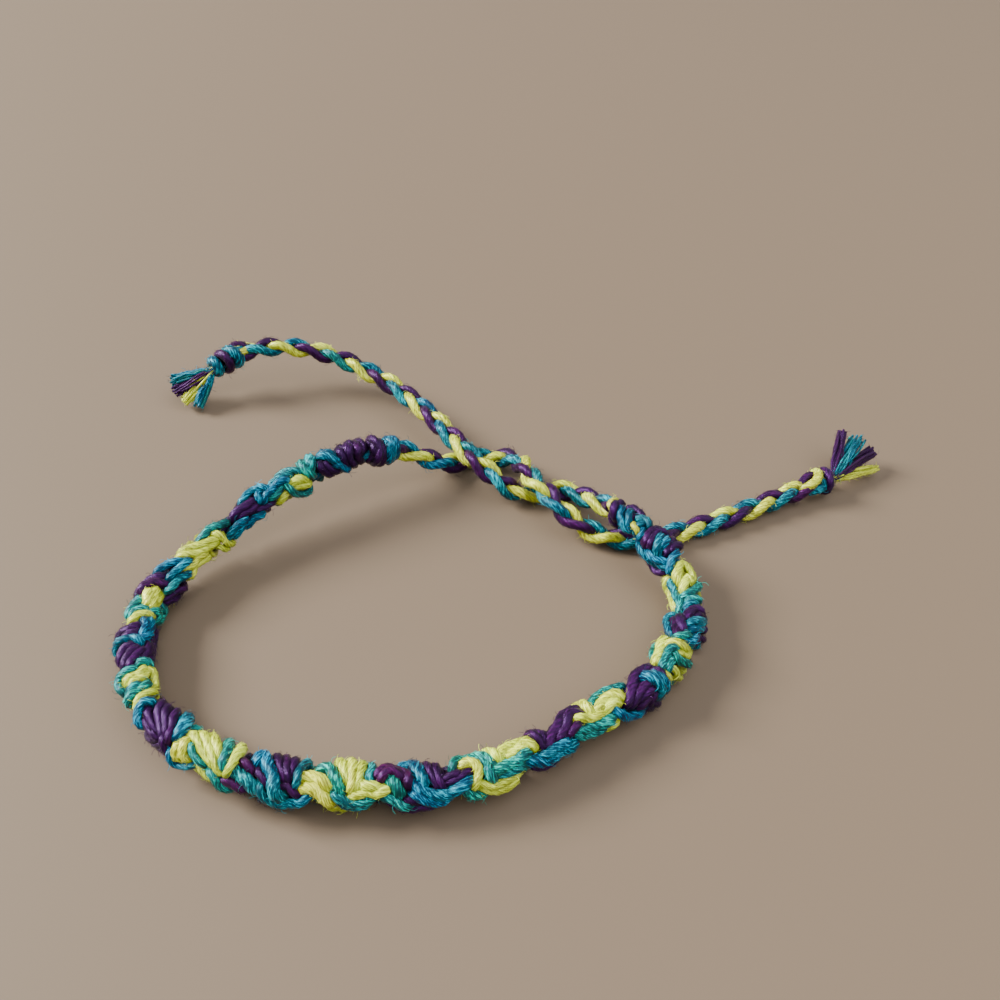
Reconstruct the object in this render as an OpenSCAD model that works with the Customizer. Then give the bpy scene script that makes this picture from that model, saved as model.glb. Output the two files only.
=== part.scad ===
// Knotted friendship bracelet of embroidery floss, lying open on a table.
// Wrapped knots in two colours sit side by side on a bundle of core strands. The band ends in
// a knot at each end, and from each end knot runs a braided tie with a stopper knot and a tassel.
// The two ties are crossed over each other once each way in a loose half knot.
// Millimetres, +Z up. The origin is on the table, under the middle of the band's loop.

/* [Knotted band] */
// Radius of a knot over the crests of its wraps
knot_r = 2.35; // [2.2:0.05:2.4]
// Depth of the groove between two wraps
groove = 0.2; // [0.1:0.05:0.25]
// How much closer the wraps lie on the side where they gather, as a share of their mean pitch
gather = 0.25; // [0:0.05:0.5]
// Radius of the bundle of core strands inside the knots
core_r = 1.1; // [0.9:0.05:1.1]
// Radius of the knot that closes each end of the band
end_r = 1.8; // [1.5:0.05:1.9]
// Length of the knot that closes each end of the band
end_len = 4; // [3:0.25:4.5]

/* [Braided ties] */
// Diameter of a braided tie
tie_d = 2.4; // [2:0.05:2.5]
// Radius of the stopper knot on a tie
stopper_r = 1.9; // [1.6:0.05:2]
// Length of the stopper knot on a tie
stopper_len = 3.6; // [3:0.2:4.2]

/* [Tassels] */
// Radius of the tassel's neck, where its floss leaves the stopper knot
neck_r = 1.15; // [0.9:0.05:1.3]
// Half the width of a tassel where it parts into locks
fan_r = 1.6; // [1.3:0.1:1.8]
// Half the width of a lock of floss at its cut end
lock_r = 0.8; // [0.6:0.05:0.85]

/* [Clearances] */
// Gap between two pieces that lie against each other
gap = 0.1; // [0.05:0.05:0.2]
// Clearance of the core strands inside a knot
core_clearance = 0.2; // [0.15:0.05:0.25]

/* [Hidden] */
band_sides = 12;
tie_sides = 8;
// Rings of a lock
LOCK_STEPS = 4;
// Points of a lock's ring, as shares of its half width and half height
LOCK_SHARES = [[1, 0.6], [0, 1], [-1, 0.6], [-1, -0.6], [0, -1], [1, -0.6]];
// Share of a tassel's half width at which its outermost points lie, so that it has round sides
FAN_REACH = 0.92;
// Height of the grooves between two locks, as a share of the height of their crests
FAN_GROOVE = 0.85;
// Rings of a tie between two route points
tie_rings = 2;
// A short step along the route, for its direction
nudge = 0.01;

// Middle of every knot along the band, from the back left round the front to the back right
BAND = [
    [-8.5, 23, 6], [-12.5, 20.5, 6.4], [-17.5, 16.5, 6], [-22, 12, 5], [-27, 6, 3.7],
    [-29.5, 1, 2.8], [-31, -2.5, 2.3], [-30.5, -7.5, 2.35], [-28.5, -13.2, 2.35], [-25, -17.8, 2.35],
    [-19, -21.2, 2.35], [-12, -23.2, 2.35], [-5, -23.2, 2.35], [3, -22.2, 2.35], [9.5, -19.8, 2.35],
    [15.5, -15.8, 2.35], [20, -11.8, 2.35], [25.5, -8.5, 2.35], [28.5, -3.5, 2.35], [31, 2, 2.4],
    [30, 7.8, 3.1], [27, 11.7, 4.7], [23, 16.2, 4.8]
];

// Route of the tie that leaves the band at the back left and ends on the right
RIGHT_TIE = [
    [-6, 24.5, 5.4], [-3, 25.5, 3.6], [-0.5, 26.5, 2.1], [1.5, 27.6, 1.4], [3.5, 28.8, 1.3],
    [5.9, 29.4, 1.4], [7.9, 28.9, 1.9], [9.5, 27.2, 2.8], [10.5, 24.9, 3.7], [11.6, 22.4, 4.15],
    [13.5, 20, 4.1], [15.2, 18, 3.5], [17.8, 16.6, 2.4], [21, 15.8, 1.5], [25.5, 15.7, 1.3],
    [29, 17, 1.3], [34, 19.5, 1.3], [40.5, 23.3, 1.4], [46, 26.6, 1.7], [50.3, 29.1, 2], [53, 30.7, 2]
];

// Route of the tie that leaves the band at the back right and ends on the left
LEFT_TIE = [
    [21, 18.5, 4.2], [19, 20.8, 3.1], [17, 22.8, 2], [14.8, 23.8, 1.4], [12.3, 23.1, 1.3],
    [10.5, 22.4, 1.5], [8.5, 22.4, 2.3], [6.5, 23.2, 3.3], [4.5, 24.6, 4], [2.7, 26.4, 4.2],
    [0.8, 29, 4.1], [-2, 32.7, 4], [-4.9, 36.2, 3.9], [-8.1, 39.3, 3.9], [-11.7, 42, 4],
    [-15.8, 44, 4.5], [-19.3, 44.7, 5.2], [-22.7, 44.6, 5.9], [-26.1, 44, 6.3], [-29, 43.1, 6.25],
    [-31.4, 42, 5.9], [-33.3, 40.8, 5.2], [-35, 39.6, 4.3]
];

// Tips of the locks of the two tassels
RIGHT_TIPS = [[54.8, 38, 4.6], [56.8, 36.9, 3.6], [59.9, 36.6, 2.4], [60, 34.6, 1.1]];
LEFT_TIPS = [[-40.6, 38, 2.9], [-39.8, 36.6, 2], [-38.4, 35.6, 1.2], [-36.3, 35, 0.9]];

// One line through everything, from the right tassel through the band to the left tassel
PATH = concat([for (i = [len(RIGHT_TIE) - 1:-1:0]) RIGHT_TIE[i]], BAND, LEFT_TIE);
first_knot = len(RIGHT_TIE);
last_knot = first_knot + len(BAND) - 1;
right_stopper = 1;
left_stopper = len(PATH) - 2;

// The wrapped knots in order along the band. Columns: number of wraps, girth as a share of
// knot_r, and the side where the wraps lie widest apart, in degrees from outwards over the top
WRAPS = 0;
GIRTH = 1;
WIDE_SIDE = 2;
KNOTS = [
    [3, 0.82, 160], [3, 0.8, 20], [3, 0.9, 150], [4, 0.92, 30], [3, 0.97, 170], [3, 0.93, 20],
    [4, 0.98, 160], [3, 0.98, 110], [4, 1, 120], [4, 1, 130], [4, 1, 130], [4, 1, 130],
    [4, 1, 130], [3, 1, 150], [4, 1, 60], [3, 1, 120], [4, 1, 70], [3, 1, 100],
    [4, 1, 150], [4, 0.95, 40], [3, 0.9, 60]
];
KNOT_COUNT = len(KNOTS);
// Odd knots are purple and even knots are yellow
function is_purple(n) = n % 2 == 0;
function two_digits(n) = str(n < 10 ? "0" : "", n);
function knot_name(n) =
    str(is_purple(n) ? "purple_knot_" : "yellow_knot_", two_digits(floor(n / 2) + 1));

// Point number i of a list, held at the ends of the list
function held(list, i) = list[max(0, min(len(list) - 1, i))];

// Point at place t on the smooth curve through the points of a list, where whole t are the points
function curve(list, t) =
    let (
        i = max(0, min(floor(t), len(list) - 2)),
        f = t - i,
        a = held(list, i - 1),
        b = held(list, i),
        c = held(list, i + 1),
        d = held(list, i + 2)
    )
    b + 0.5 * f * ((c - a) + f * ((2 * a - 5 * b + 4 * c - d) + f * (3 * b - a - 3 * c + d)));

function mixed(a, b, f) = a + (b - a) * f;
function unit(v) = v / norm(v);
function slope(list, t) = (curve(list, t + nudge) - curve(list, t - nudge)) / (2 * nudge);
function outward(list, t) = unit(cross(slope(list, t), [0, 0, 1]));
function upward(list, t) = unit(cross(outward(list, t), slope(list, t)));

// Share of t that one millimetre is at place t
function per_mm(list, t) = 1 / norm(slope(list, t));

// Point at angle a and radius r round the curve at place t
function around(list, t, a, r) =
    curve(list, t) + r * (cos(a) * outward(list, t) + sin(a) * upward(list, t));

function plain_ring(list, t, r, sides) = [for (k = [0:sides - 1]) around(list, t, 360 * k / sides, r)];

// Ring of a wrapped knot: spread from the knot's middle on its wide side, gathered on the other
function leaning_ring(middle, shift, r, wide_side) =
    [
        for (k = [0:band_sides - 1])
            let (a = 360 * k / band_sides, spread = (1 + gather * cos(a - wide_side)) / (1 + gather))
            around(PATH, middle + shift * spread, a, r)
    ];

// Numbers of the points of ring i, where every ring has the same count of points
function ring_ids(i, sides) = [for (k = [0:sides - 1]) i * sides + k];

// Triangles between two rings, each given as a list of point numbers
function wall(a, b) =
    [
        for (k = [0:len(a) - 1])
            let (n = (k + 1) % len(a))
            each [[a[k], a[n], b[n]], [a[k], b[n], b[k]]]
    ];

// Triangles that close the first or the last ring
function first_cap(ids) = [for (k = [1:len(ids) - 2]) [ids[0], ids[k + 1], ids[k]]];
function last_cap(ids) = [for (k = [1:len(ids) - 2]) [ids[0], ids[k], ids[k + 1]]];

// Closed solid through a row of rings, with flat ends
module lofted(rings) {
    sides = len(rings[0]);
    last = len(rings) - 1;
    walls = [for (i = [0:last - 1]) each wall(ring_ids(i, sides), ring_ids(i + 1, sides))];
    polyhedron(
        [for (ring = rings) each ring],
        concat(walls, first_cap(ring_ids(0, sides)), last_cap(ring_ids(last, sides)))
    );
}

// Hollow solid through a row of rings that closes on itself: out along the outer wall, back
// along the bore
module lofted_hoop(rings) {
    sides = len(rings[0]);
    count = len(rings);
    polyhedron(
        [for (ring = rings) each ring],
        [for (i = [0:count - 1]) each wall(ring_ids(i, sides), ring_ids((i + 1) % count, sides))]
    );
}

// Radius of a wrapped piece at station j of 2 * wraps, where odd stations are crests
function wrapped_r(r, j, wraps) =
    j == 0 || j == 2 * wraps ? r - 1.5 * groove :
    j % 2 == 1 ? r : r - groove;

// One knot of the band: wraps of floss round the core strands
module wrapped_knot(n) {
    middle = first_knot + 1 + n;
    wraps = KNOTS[n][WRAPS];
    wide = KNOTS[n][WIDE_SIDE];
    half = 0.5 - gap / 2 * per_mm(PATH, middle);
    crest_r = knot_r * KNOTS[n][GIRTH];
    outer = [
        for (j = [0:2 * wraps])
            leaning_ring(middle, (j / wraps - 1) * half, wrapped_r(crest_r, j, wraps), wide)
    ];
    bore = [for (j = [1:-1:-1]) leaning_ring(middle, j * half, core_r + core_clearance, wide)];
    color(is_purple(n) ? "#55195f" : "#d8d24a") lofted_hoop(concat(outer, bore));
}

// Solid knot of two wraps whose middle is at place t of the path
module closing_knot(t, r, length, wraps) {
    half = length / 2 * per_mm(PATH, t);
    lofted([
        for (j = [0:2 * wraps])
            let (ring_r = j % (2 * wraps) == 0 ? neck_r : wrapped_r(r, j, wraps))
            plain_ring(PATH, t + (j / wraps - 1) * half, ring_r, band_sides)
    ]);
}

module core_strands() {
    from = first_knot + (end_len / 2 + gap) * per_mm(PATH, first_knot);
    to = last_knot - (end_len / 2 + gap) * per_mm(PATH, last_knot);
    count = 2 * (KNOT_COUNT + 1);
    color("#007f92")
        lofted([for (i = [0:count]) plain_ring(PATH, mixed(from, to, i / count), core_r, band_sides)]);
}

module start_knot() {
    color("#007f92") closing_knot(first_knot, end_r, end_len, 3);
}

module finish_knot() {
    color("#55195f") closing_knot(last_knot, end_r, end_len, 3);
}

// Braided tie between a closing knot of the band at place a and a stopper knot at place b
module braided_tie(a, b) {
    turn = sign(b - a);
    from = a + turn * (end_len / 2 + gap) * per_mm(PATH, a);
    to = b - turn * (stopper_len / 2 + gap) * per_mm(PATH, b);
    low = min(from, to);
    high = max(from, to);
    count = tie_rings * round(high - low);
    lofted([for (i = [0:count]) plain_ring(PATH, mixed(low, high, i / count), tie_d / 2, tie_sides)]);
}

module right_tie() {
    color("#0f8f9c") braided_tie(first_knot, right_stopper);
}

module left_tie() {
    color("#0f8f9c") braided_tie(last_knot, left_stopper);
}

module right_stopper_knot() {
    color("#55195f") closing_knot(right_stopper, stopper_r, stopper_len, 2);
}

module left_stopper_knot() {
    color("#007f92") closing_knot(left_stopper, stopper_r, stopper_len, 2);
}

// Points of a ring round a middle, square to the direction ahead and with its width along across
function facing_ring(middle, ahead, across, shares, half_width, half_height) =
    let (side = unit(across - (across * ahead) * ahead), over = cross(side, ahead))
    [for (share = shares) middle + share[0] * half_width * side + share[1] * half_height * over];

// Shares for a row of locks side by side: over the top from the first lock to the last, then back
// underneath. Odd points of the top are the crests of the locks
function row_shares(count) =
    let (
        top = [
            for (j = [0:2 * count])
                let (x = FAN_REACH * (1 - j / count))
                [x, sqrt(1 - x * x) * (j % 2 == 1 ? 1 : FAN_GROOVE)]
        ]
    )
    concat(top, [for (j = [2 * count:-1:0]) [top[j][0], -top[j][1]]]);

// Tassel beyond the stopper knot at place stopper: floss that spreads from a neck into a flat fan
// at place tail, where it parts into a lock to each tip. Every lock starts as its own share of
// the fan's last ring, so that all is one closed surface
module tassel(stopper, tail, tips) {
    turn = sign(tail - stopper);
    root_place = stopper + turn * (stopper_len / 2 + gap) * per_mm(PATH, stopper);
    root = curve(PATH, root_place);
    fork = curve(PATH, tail);
    count = len(tips);
    across = tips[0] - tips[count - 1];
    leaving = turn * unit(slope(PATH, root_place));
    ahead = unit((tips[0] + tips[count - 1]) / 2 - fork);
    shares = row_shares(count);
    fan = [
        for (f = [0:0.5:1])
            let (facing = unit(mixed(leaving, ahead, f)), half_width = mixed(neck_r, fan_r, f))
            facing_ring(mixed(root, fork, f), facing, across, shares, half_width, neck_r)
    ];
    fork_ring = fan[len(fan) - 1];
    fan_sides = len(shares);
    fork_ids = ring_ids(len(fan) - 1, fan_sides);
    lock_sides = len(LOCK_SHARES);
    first_id = len(fan) * fan_sides;
    locks = [
        for (i = [0:count - 1])
            let (start = (fork_ring[2 * i + 1] + fork_ring[fan_sides - 2 - 2 * i]) / 2)
            for (m = [1:LOCK_STEPS])
                let (
                    f = m / LOCK_STEPS,
                    half_width = mixed(fan_r / count, lock_r, f),
                    half_height = mixed(neck_r, lock_r, f)
                )
                facing_ring(mixed(start, tips[i], f), ahead, across, LOCK_SHARES, half_width, half_height)
    ];
    lock_faces = [
        for (i = [0:count - 1])
            let (
                above = 2 * i,
                under = fan_sides - 1 - above,
                share = [above, above + 1, above + 2, under - 2, under - 1, under],
                share_ids = [for (j = share) fork_ids[j]],
                ids = [
                    for (m = [0:LOCK_STEPS - 1])
                        [for (j = [0:lock_sides - 1]) first_id + (i * LOCK_STEPS + m) * lock_sides + j]
                ]
            )
            each concat(
                wall(share_ids, ids[0]),
                [for (m = [0:LOCK_STEPS - 2]) each wall(ids[m], ids[m + 1])],
                last_cap(ids[LOCK_STEPS - 1])
            )
    ];
    polyhedron(
        concat([for (ring = fan) each ring], [for (ring = locks) each ring]),
        concat(
            first_cap(ring_ids(0, fan_sides)),
            [for (i = [0:len(fan) - 2]) each wall(ring_ids(i, fan_sides), ring_ids(i + 1, fan_sides))],
            lock_faces
        )
    );
}

module right_tassel() {
    color("#6a2a78") tassel(right_stopper, 0, RIGHT_TIPS);
}

module left_tassel() {
    color("#6a2a78") tassel(left_stopper, len(PATH) - 1, LEFT_TIPS);
}

core_strands();
start_knot();
finish_knot();
for (n = [0:KNOT_COUNT - 1])
    wrapped_knot(n);
right_tie();
right_stopper_knot();
right_tassel();
left_tie();
left_stopper_knot();
left_tassel();
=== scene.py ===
# %% [markdown]
# # A knotted friendship bracelet
#
# The bracelet is made of embroidery floss in purple, teal and yellow. A thin bundle of core
# strands runs round the wrist. Clusters of half hitches sit on it, purple and yellow in turn, and
# a teal strand travels round them. Each end of the band goes on as a braided tie with a stopper
# knot and a tassel, and the two ties cross in a loose half knot.
#
# Every strand is drawn as a line first. One Geometry Nodes tree then spins each line into floss.

import math

import bpy
import numpy as np
from mathutils import Matrix, Vector


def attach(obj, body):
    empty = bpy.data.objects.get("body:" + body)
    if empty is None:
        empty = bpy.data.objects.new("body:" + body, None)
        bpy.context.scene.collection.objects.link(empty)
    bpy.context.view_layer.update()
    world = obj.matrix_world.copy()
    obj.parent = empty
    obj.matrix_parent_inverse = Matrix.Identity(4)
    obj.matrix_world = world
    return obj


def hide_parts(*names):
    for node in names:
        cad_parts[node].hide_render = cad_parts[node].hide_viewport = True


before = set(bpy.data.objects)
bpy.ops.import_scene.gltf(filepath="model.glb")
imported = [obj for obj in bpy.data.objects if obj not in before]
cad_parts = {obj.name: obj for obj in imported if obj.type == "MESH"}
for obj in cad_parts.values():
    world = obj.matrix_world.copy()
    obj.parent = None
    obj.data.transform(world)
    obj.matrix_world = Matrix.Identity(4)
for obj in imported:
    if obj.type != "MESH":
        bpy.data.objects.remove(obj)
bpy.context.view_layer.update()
MM = 0.001
print("CAD nodes:", len(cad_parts))

# %% [markdown]
# ## The camera
#
# The photograph looks down on the table at about 43 degrees from close by, and leans a little to
# one side. The camera is set by those two angles and its place, so that every strand can be judged
# in the photograph's own frame.

# %% Camera


def add_object(name, data):
    """An object with that data, placed in the scene."""
    obj = bpy.data.objects.new(name, data)
    bpy.context.collection.objects.link(obj)
    return obj


PITCH = math.radians(42.7)
ROLL = math.radians(-5)
CAMERA_PLACE = Vector((7.54, -75.13, 90))
level = Vector((1, 0, 0))
steep = Vector((0, -math.sin(PITCH), -math.cos(PITCH)))
ahead = Vector((0, math.cos(PITCH), -math.sin(PITCH)))
image_right = math.cos(ROLL) * level + math.sin(ROLL) * steep
image_down = -math.sin(ROLL) * level + math.cos(ROLL) * steep
camera = add_object("camera", bpy.data.cameras.new("camera"))
camera.data.sensor_width = 36
camera.data.lens = 36
camera.data.clip_start = 0.001
camera.data.clip_end = 20
turned = Matrix((image_right, -image_down, -ahead)).transposed().to_4x4()
camera.matrix_world = Matrix.Translation(CAMERA_PLACE * MM) @ turned
bpy.context.scene.camera = camera
print("camera at", [round(v, 4) for v in camera.matrix_world.translation])

# %% [markdown]
# ## The route
#
# One smooth line runs through the whole bracelet, from the right tassel through the band to the
# left tassel. These are the route points of the solid model, in millimetres. A place on the line is
# a number: 0 is the start knot, 1 to 21 are the wrapped knots, 22 is the finish knot. Lower numbers
# lie on the right tie and higher ones on the left tie.

# %% Route points
BAND = np.array([
    [-8.5, 23, 6], [-12.5, 20.5, 6.4], [-17.5, 16.5, 6], [-22, 12, 5], [-27, 6, 3.7],
    [-29.5, 1, 2.8], [-31, -2.5, 2.3], [-30.5, -7.5, 2.35], [-28.5, -13.2, 2.35], [-25, -17.8, 2.35],
    [-19, -21.2, 2.35], [-12, -23.2, 2.35], [-5, -23.2, 2.35], [3, -22.2, 2.35], [9.5, -19.8, 2.35],
    [15.5, -15.8, 2.35], [20, -11.8, 2.35], [25.5, -8.5, 2.35], [28.5, -3.5, 2.35], [31, 2, 2.4],
    [30, 7.8, 3.1], [27, 11.7, 4.7], [23, 16.2, 4.8],
])
RIGHT_TIE = np.array([
    [-6, 24.5, 5.4], [-3, 25.5, 3.6], [-0.5, 26.5, 2.1], [1.5, 27.6, 1.4], [3.5, 28.8, 1.3],
    [5.9, 29.4, 1.4], [7.9, 28.9, 1.9], [9.5, 27.2, 2.8], [10.5, 24.9, 3.7], [11.6, 22.4, 4.15],
    [13.5, 20, 4.1], [15.2, 18, 3.5], [17.8, 16.6, 2.4], [21, 15.8, 1.5], [25.5, 15.7, 1.3],
    [29, 17, 1.3], [34, 19.5, 1.3], [40.5, 23.3, 1.4], [46, 26.6, 1.7], [50.3, 29.1, 2], [53, 30.7, 2],
])
LEFT_TIE = np.array([
    [21, 18.5, 4.2], [19, 20.8, 3.1], [17, 22.8, 2], [14.8, 23.8, 1.4], [12.3, 23.1, 1.3],
    [10.5, 22.4, 1.5], [8.5, 22.4, 2.3], [6.5, 23.2, 3.3], [4.5, 24.6, 4], [2.7, 26.4, 4.2],
    [0.8, 29, 4.1], [-2, 32.7, 4], [-4.9, 36.2, 3.9], [-8.1, 39.3, 3.9], [-11.7, 42, 4],
    [-15.8, 44, 4.5], [-19.3, 44.7, 5.2], [-22.7, 44.6, 5.9], [-26.1, 44, 6.3], [-29, 43.1, 6.25],
    [-31.4, 42, 5.9], [-33.3, 40.8, 5.2], [-35, 39.6, 4.3],
])
ROUTE = np.concatenate([RIGHT_TIE[::-1], BAND, LEFT_TIE])
ORIGIN = len(RIGHT_TIE)
LAST = len(BAND) - 1
print("route points:", len(ROUTE))

# %% Lines through points


def curve_through(points, where):
    """Places on the smooth curve through control points. 0 is the first point, 1 the next."""
    i = np.clip(np.floor(where).astype(int), 0, len(points) - 2)
    f = (where - i)[..., None]
    a, b, c, d = (points[np.clip(i + k, 0, len(points) - 1)] for k in (-1, 0, 1, 2))
    return 0.5 * (
        2 * b + (c - a) * f + (2 * a - 5 * b + 4 * c - d) * f**2 + (3 * b - a - 3 * c + d) * f**3
    )


def at(place):
    """Points of the route at those places, in millimetres."""
    return curve_through(ROUTE, np.asarray(place, float) + ORIGIN)


def unit(directions):
    return directions / np.linalg.norm(directions, axis=-1, keepdims=True)


def beside(along):
    """The directions to the side of a line and upwards from it."""
    out = unit(np.cross(along, [0, 0, 1]))
    return out, np.cross(out, along)


def axes(place):
    """Directions along the route, out of the bracelet and upwards at those places."""
    place = np.asarray(place, float)
    along = unit(at(place + 0.01) - at(place - 0.01))
    return along, *beside(along)


def smooth(points, steps):
    """A smooth line through control points, with so many steps between two of them."""
    points = np.asarray(points, float)
    return curve_through(points, np.arange((len(points) - 1) * steps + 1) / steps)


def above(line, height):
    """The same line, lifted wherever its middle would be lower than that."""
    line[:, 2] = np.maximum(line[:, 2], height)
    return line


def line_length(points):
    return float(np.linalg.norm(np.diff(points, axis=0), axis=1).sum())


print("band length in mm:", round(line_length(at(np.linspace(0, LAST, 400))), 1))

# %% [markdown]
# ## Three colours of floss
#
# Mercerised cotton has a soft silky shine along its fibres. Each colour is a small set of colours:
# the tone of its fibres from deep through mid to pale, painted darker in the grooves between plies
# and lighter on their ridges, a darkest colour that is painted shade for the hollows between
# strands, and the colour it drifts to where the dye took unevenly. Gloss is the tint of its
# highlights and shine their strength.

# %% Dyes
PURPLE, TEAL, YELLOW = "purple_floss", "teal_floss", "yellow_floss"
DYES_AND_PAINTED_SHADE = {
    # The darkest colour of each set is painted shade for the hollows between strands.
    PURPLE: {
        "painted_hollow_shade": (0.002, 0.0002, 0.005, 1), "deep": (0.004, 0.0002, 0.008, 1),
        "mid": (0.013, 0.0004, 0.021, 1), "pale": (0.048, 0.002, 0.076, 1),
        "drift": (0.09, 0.004, 0.07, 1), "gloss": (0.6, 0.25, 1, 1), "shine": 0.4,
    },
    TEAL: {
        "painted_hollow_shade": (0.0, 0.001, 0.016, 1), "deep": (0.0, 0.003, 0.032, 1),
        "mid": (0.0, 0.036, 0.09, 1), "pale": (0.003, 0.41, 0.67, 1),
        "drift": (0.0, 0.17, 0.12, 1), "gloss": (0.2, 0.75, 1, 1), "shine": 0.5,
    },
    YELLOW: {
        "painted_hollow_shade": (0.06, 0.055, 0.001, 1), "deep": (0.2, 0.19, 0.003, 1),
        "mid": (0.55, 0.61, 0.013, 1), "pale": (1.0, 1.0, 0.14, 1),
        "drift": (0.62, 0.76, 0.02, 1), "gloss": (1, 1, 0.4, 1), "shine": 1.0,
    },
}


def short(colour):
    return colour.split("_")[0]


print("dyes:", [short(colour) for colour in DYES_AND_PAINTED_SHADE])

# %% [markdown]
# ## Small helpers for nodes
#
# Materials and Geometry Nodes are both trees of nodes, so the same few helpers build both. Each
# returns a socket that the next node can take as its input.

# %% Node helpers


def node_at(tree, kind, inputs=(), **settings):
    """One node, with its settings made and its inputs given a value or a link."""
    node = tree.nodes.new(kind)
    for key, value in settings.items():
        setattr(node, key, value)
    for key, value in dict(inputs).items():
        if isinstance(value, bpy.types.NodeSocket):
            tree.links.new(value, node.inputs[key])
        else:
            node.inputs[key].default_value = value
    return node


def out_of(tree, kind, inputs=(), **settings):
    """The first output of such a node."""
    return node_at(tree, kind, inputs, **settings).outputs[0]


def maths(tree, operation, *values):
    """The result of a sum on those values."""
    return out_of(tree, "ShaderNodeMath", dict(enumerate(values)), operation=operation)


def mapped(tree, value, low, high, to_low, to_high):
    """A value carried over from one range to another, and held inside it."""
    return out_of(tree, "ShaderNodeMapRange", {
        "Value": value, "From Min": low, "From Max": high, "To Min": to_low, "To Max": to_high,
    })


print("node helpers:", [helper.__name__ for helper in (node_at, out_of, maths, mapped)])

# %% [markdown]
# ## The floss material
#
# Each colour gets one material, which reads what the floss tree stores: the ridge of each ply, the
# place round the strand, the length along it, a number of its own for every strand, how far its dye
# drifts, and how open each spot lies. Fine streaks run along the fibres, and no two strands have
# quite the same depth of dye. The grooves between plies and the hollows between strands are darker
# with painted shade, and the ply ridges are painted a little lighter.

# %% Floss materials
STREAK_RUN, STREAK_JUMP = 210.0, 37.0  # noise units along a metre, and from strand to strand
DYE_RUN, DYE_JUMP = 420.0, 91.0


def along_strand(tree, length, strand, run, jump):
    """A coordinate that grows along a strand and jumps from one strand to the next."""
    return maths(tree, "MULTIPLY_ADD", strand, jump, maths(tree, "MULTIPLY", length, run))


def slow_noise(tree, place, scale, detail):
    inputs = {"W": place, "Scale": scale, "Detail": detail}
    return out_of(tree, "ShaderNodeTexNoise", inputs, noise_dimensions="1D")


def floss_material(name, dye_and_shade):
    material = bpy.data.materials.new(name)
    material.use_nodes = True
    tree = material.node_tree
    tree.nodes.clear()
    ply, length, strand, lean, free = (
        node_at(tree, "ShaderNodeAttribute", attribute_name=key).outputs["Fac"]
        for key in ("ply", "length", "strand", "drift", "open")
    )
    round_it = node_at(tree, "ShaderNodeAttribute", attribute_name="round").outputs["Vector"]
    split = node_at(tree, "ShaderNodeSeparateXYZ", {0: round_it}).outputs
    place = out_of(tree, "ShaderNodeCombineXYZ", {
        0: split[0], 1: split[1], 2: along_strand(tree, length, strand, STREAK_RUN, STREAK_JUMP),
    })
    fibres = out_of(tree, "ShaderNodeTexNoise", {
        "Vector": place, "Scale": 8.0, "Detail": 4.0, "Roughness": 0.62,
    })
    streak = mapped(tree, fibres, 0.37, 0.63, -0.1, 0.6)
    # Painted shade and light: the colour darkens in the grooves between plies and lightens on their
    # ridges.
    painted_ply_shade = mapped(tree, ply, -1.0, 1.0, -0.12, 0.06)
    slow = along_strand(tree, length, strand, DYE_RUN, DYE_JUMP)
    depth = slow_noise(tree, slow, 0.8, 1.0)
    tone = maths(tree, "MULTIPLY_ADD", depth, 0.5, maths(tree, "ADD", streak, painted_ply_shade))
    # The ramp turns this tone into colour, so its deep and pale ends carry the painted ply shade
    # besides the random streaks and depth of dye.
    ramp = node_at(tree, "ShaderNodeValToRGB", {"Fac": tone})
    stops = ramp.color_ramp.elements
    stops[0].position = 0.2
    stops[0].color = dye_and_shade["deep"]
    stops[1].position = 0.88
    stops[1].color = dye_and_shade["pale"]
    stops.new(0.5).color = dye_and_shade["mid"]
    turn = maths(tree, "ADD", slow_noise(tree, slow, 0.23, 0.0), lean)
    drift = node_at(tree, "ShaderNodeMix", {
        "Factor": mapped(tree, turn, 0.45, 1.25, 0.0, 1.0),
        "A": ramp.outputs["Color"],
        "B": dye_and_shade["drift"],
    }, data_type="RGBA", blend_type="HUE")
    # Painted shade: where a spot lies deep, near the middle of the route, the colour is mixed up to
    # three quarters of the way to the darkest colour of the set.
    painted_shade_mix = node_at(tree, "ShaderNodeMix", {
        "Factor": mapped(tree, free, 0.0, 1.0, 0.75, 0.0),
        "A": drift.outputs["Result"],
        "B": dye_and_shade["painted_hollow_shade"],
    }, data_type="RGBA")
    bump = out_of(tree, "ShaderNodeBump", {"Height": fibres, "Strength": 0.8, "Distance": 0.00012})
    shader = out_of(tree, "ShaderNodeBsdfPrincipled", {
        "Base Color": painted_shade_mix.outputs["Result"],
        "Roughness": mapped(tree, fibres, 0.3, 0.7, 0.38, 0.2),
        "Specular IOR Level": dye_and_shade["shine"],
        "Specular Tint": dye_and_shade["gloss"],
        "Sheen Weight": 0.03,
        "Sheen Roughness": 0.5,
        "Normal": bump,
    })
    node_at(tree, "ShaderNodeOutputMaterial", {"Surface": shader}, is_active_output=True)
    return material


FLOSS = {name: floss_material(name, dye_and_shade) for name, dye_and_shade in DYES_AND_PAINTED_SHADE.items()}
print("materials:", list(FLOSS))

# %% [markdown]
# ## The floss tree: strands
#
# A strand of embroidery floss is six thin plies with a gentle twist. The tree takes lines, gives
# them a six-lobed profile that turns along the length, and stores what the material reads. How open
# a spot lies is told by its distance from the middle of the bracelet's route.

# %% Spun strands
PLIES = 6


def store(tree, geometry, name, value, data_type="FLOAT", domain="POINT"):
    """The geometry with a value kept on it under that name."""
    return out_of(tree, "GeometryNodeStoreNamedAttribute", {
        "Geometry": geometry, "Name": name, "Value": value,
    }, data_type=data_type, domain=domain)


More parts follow.
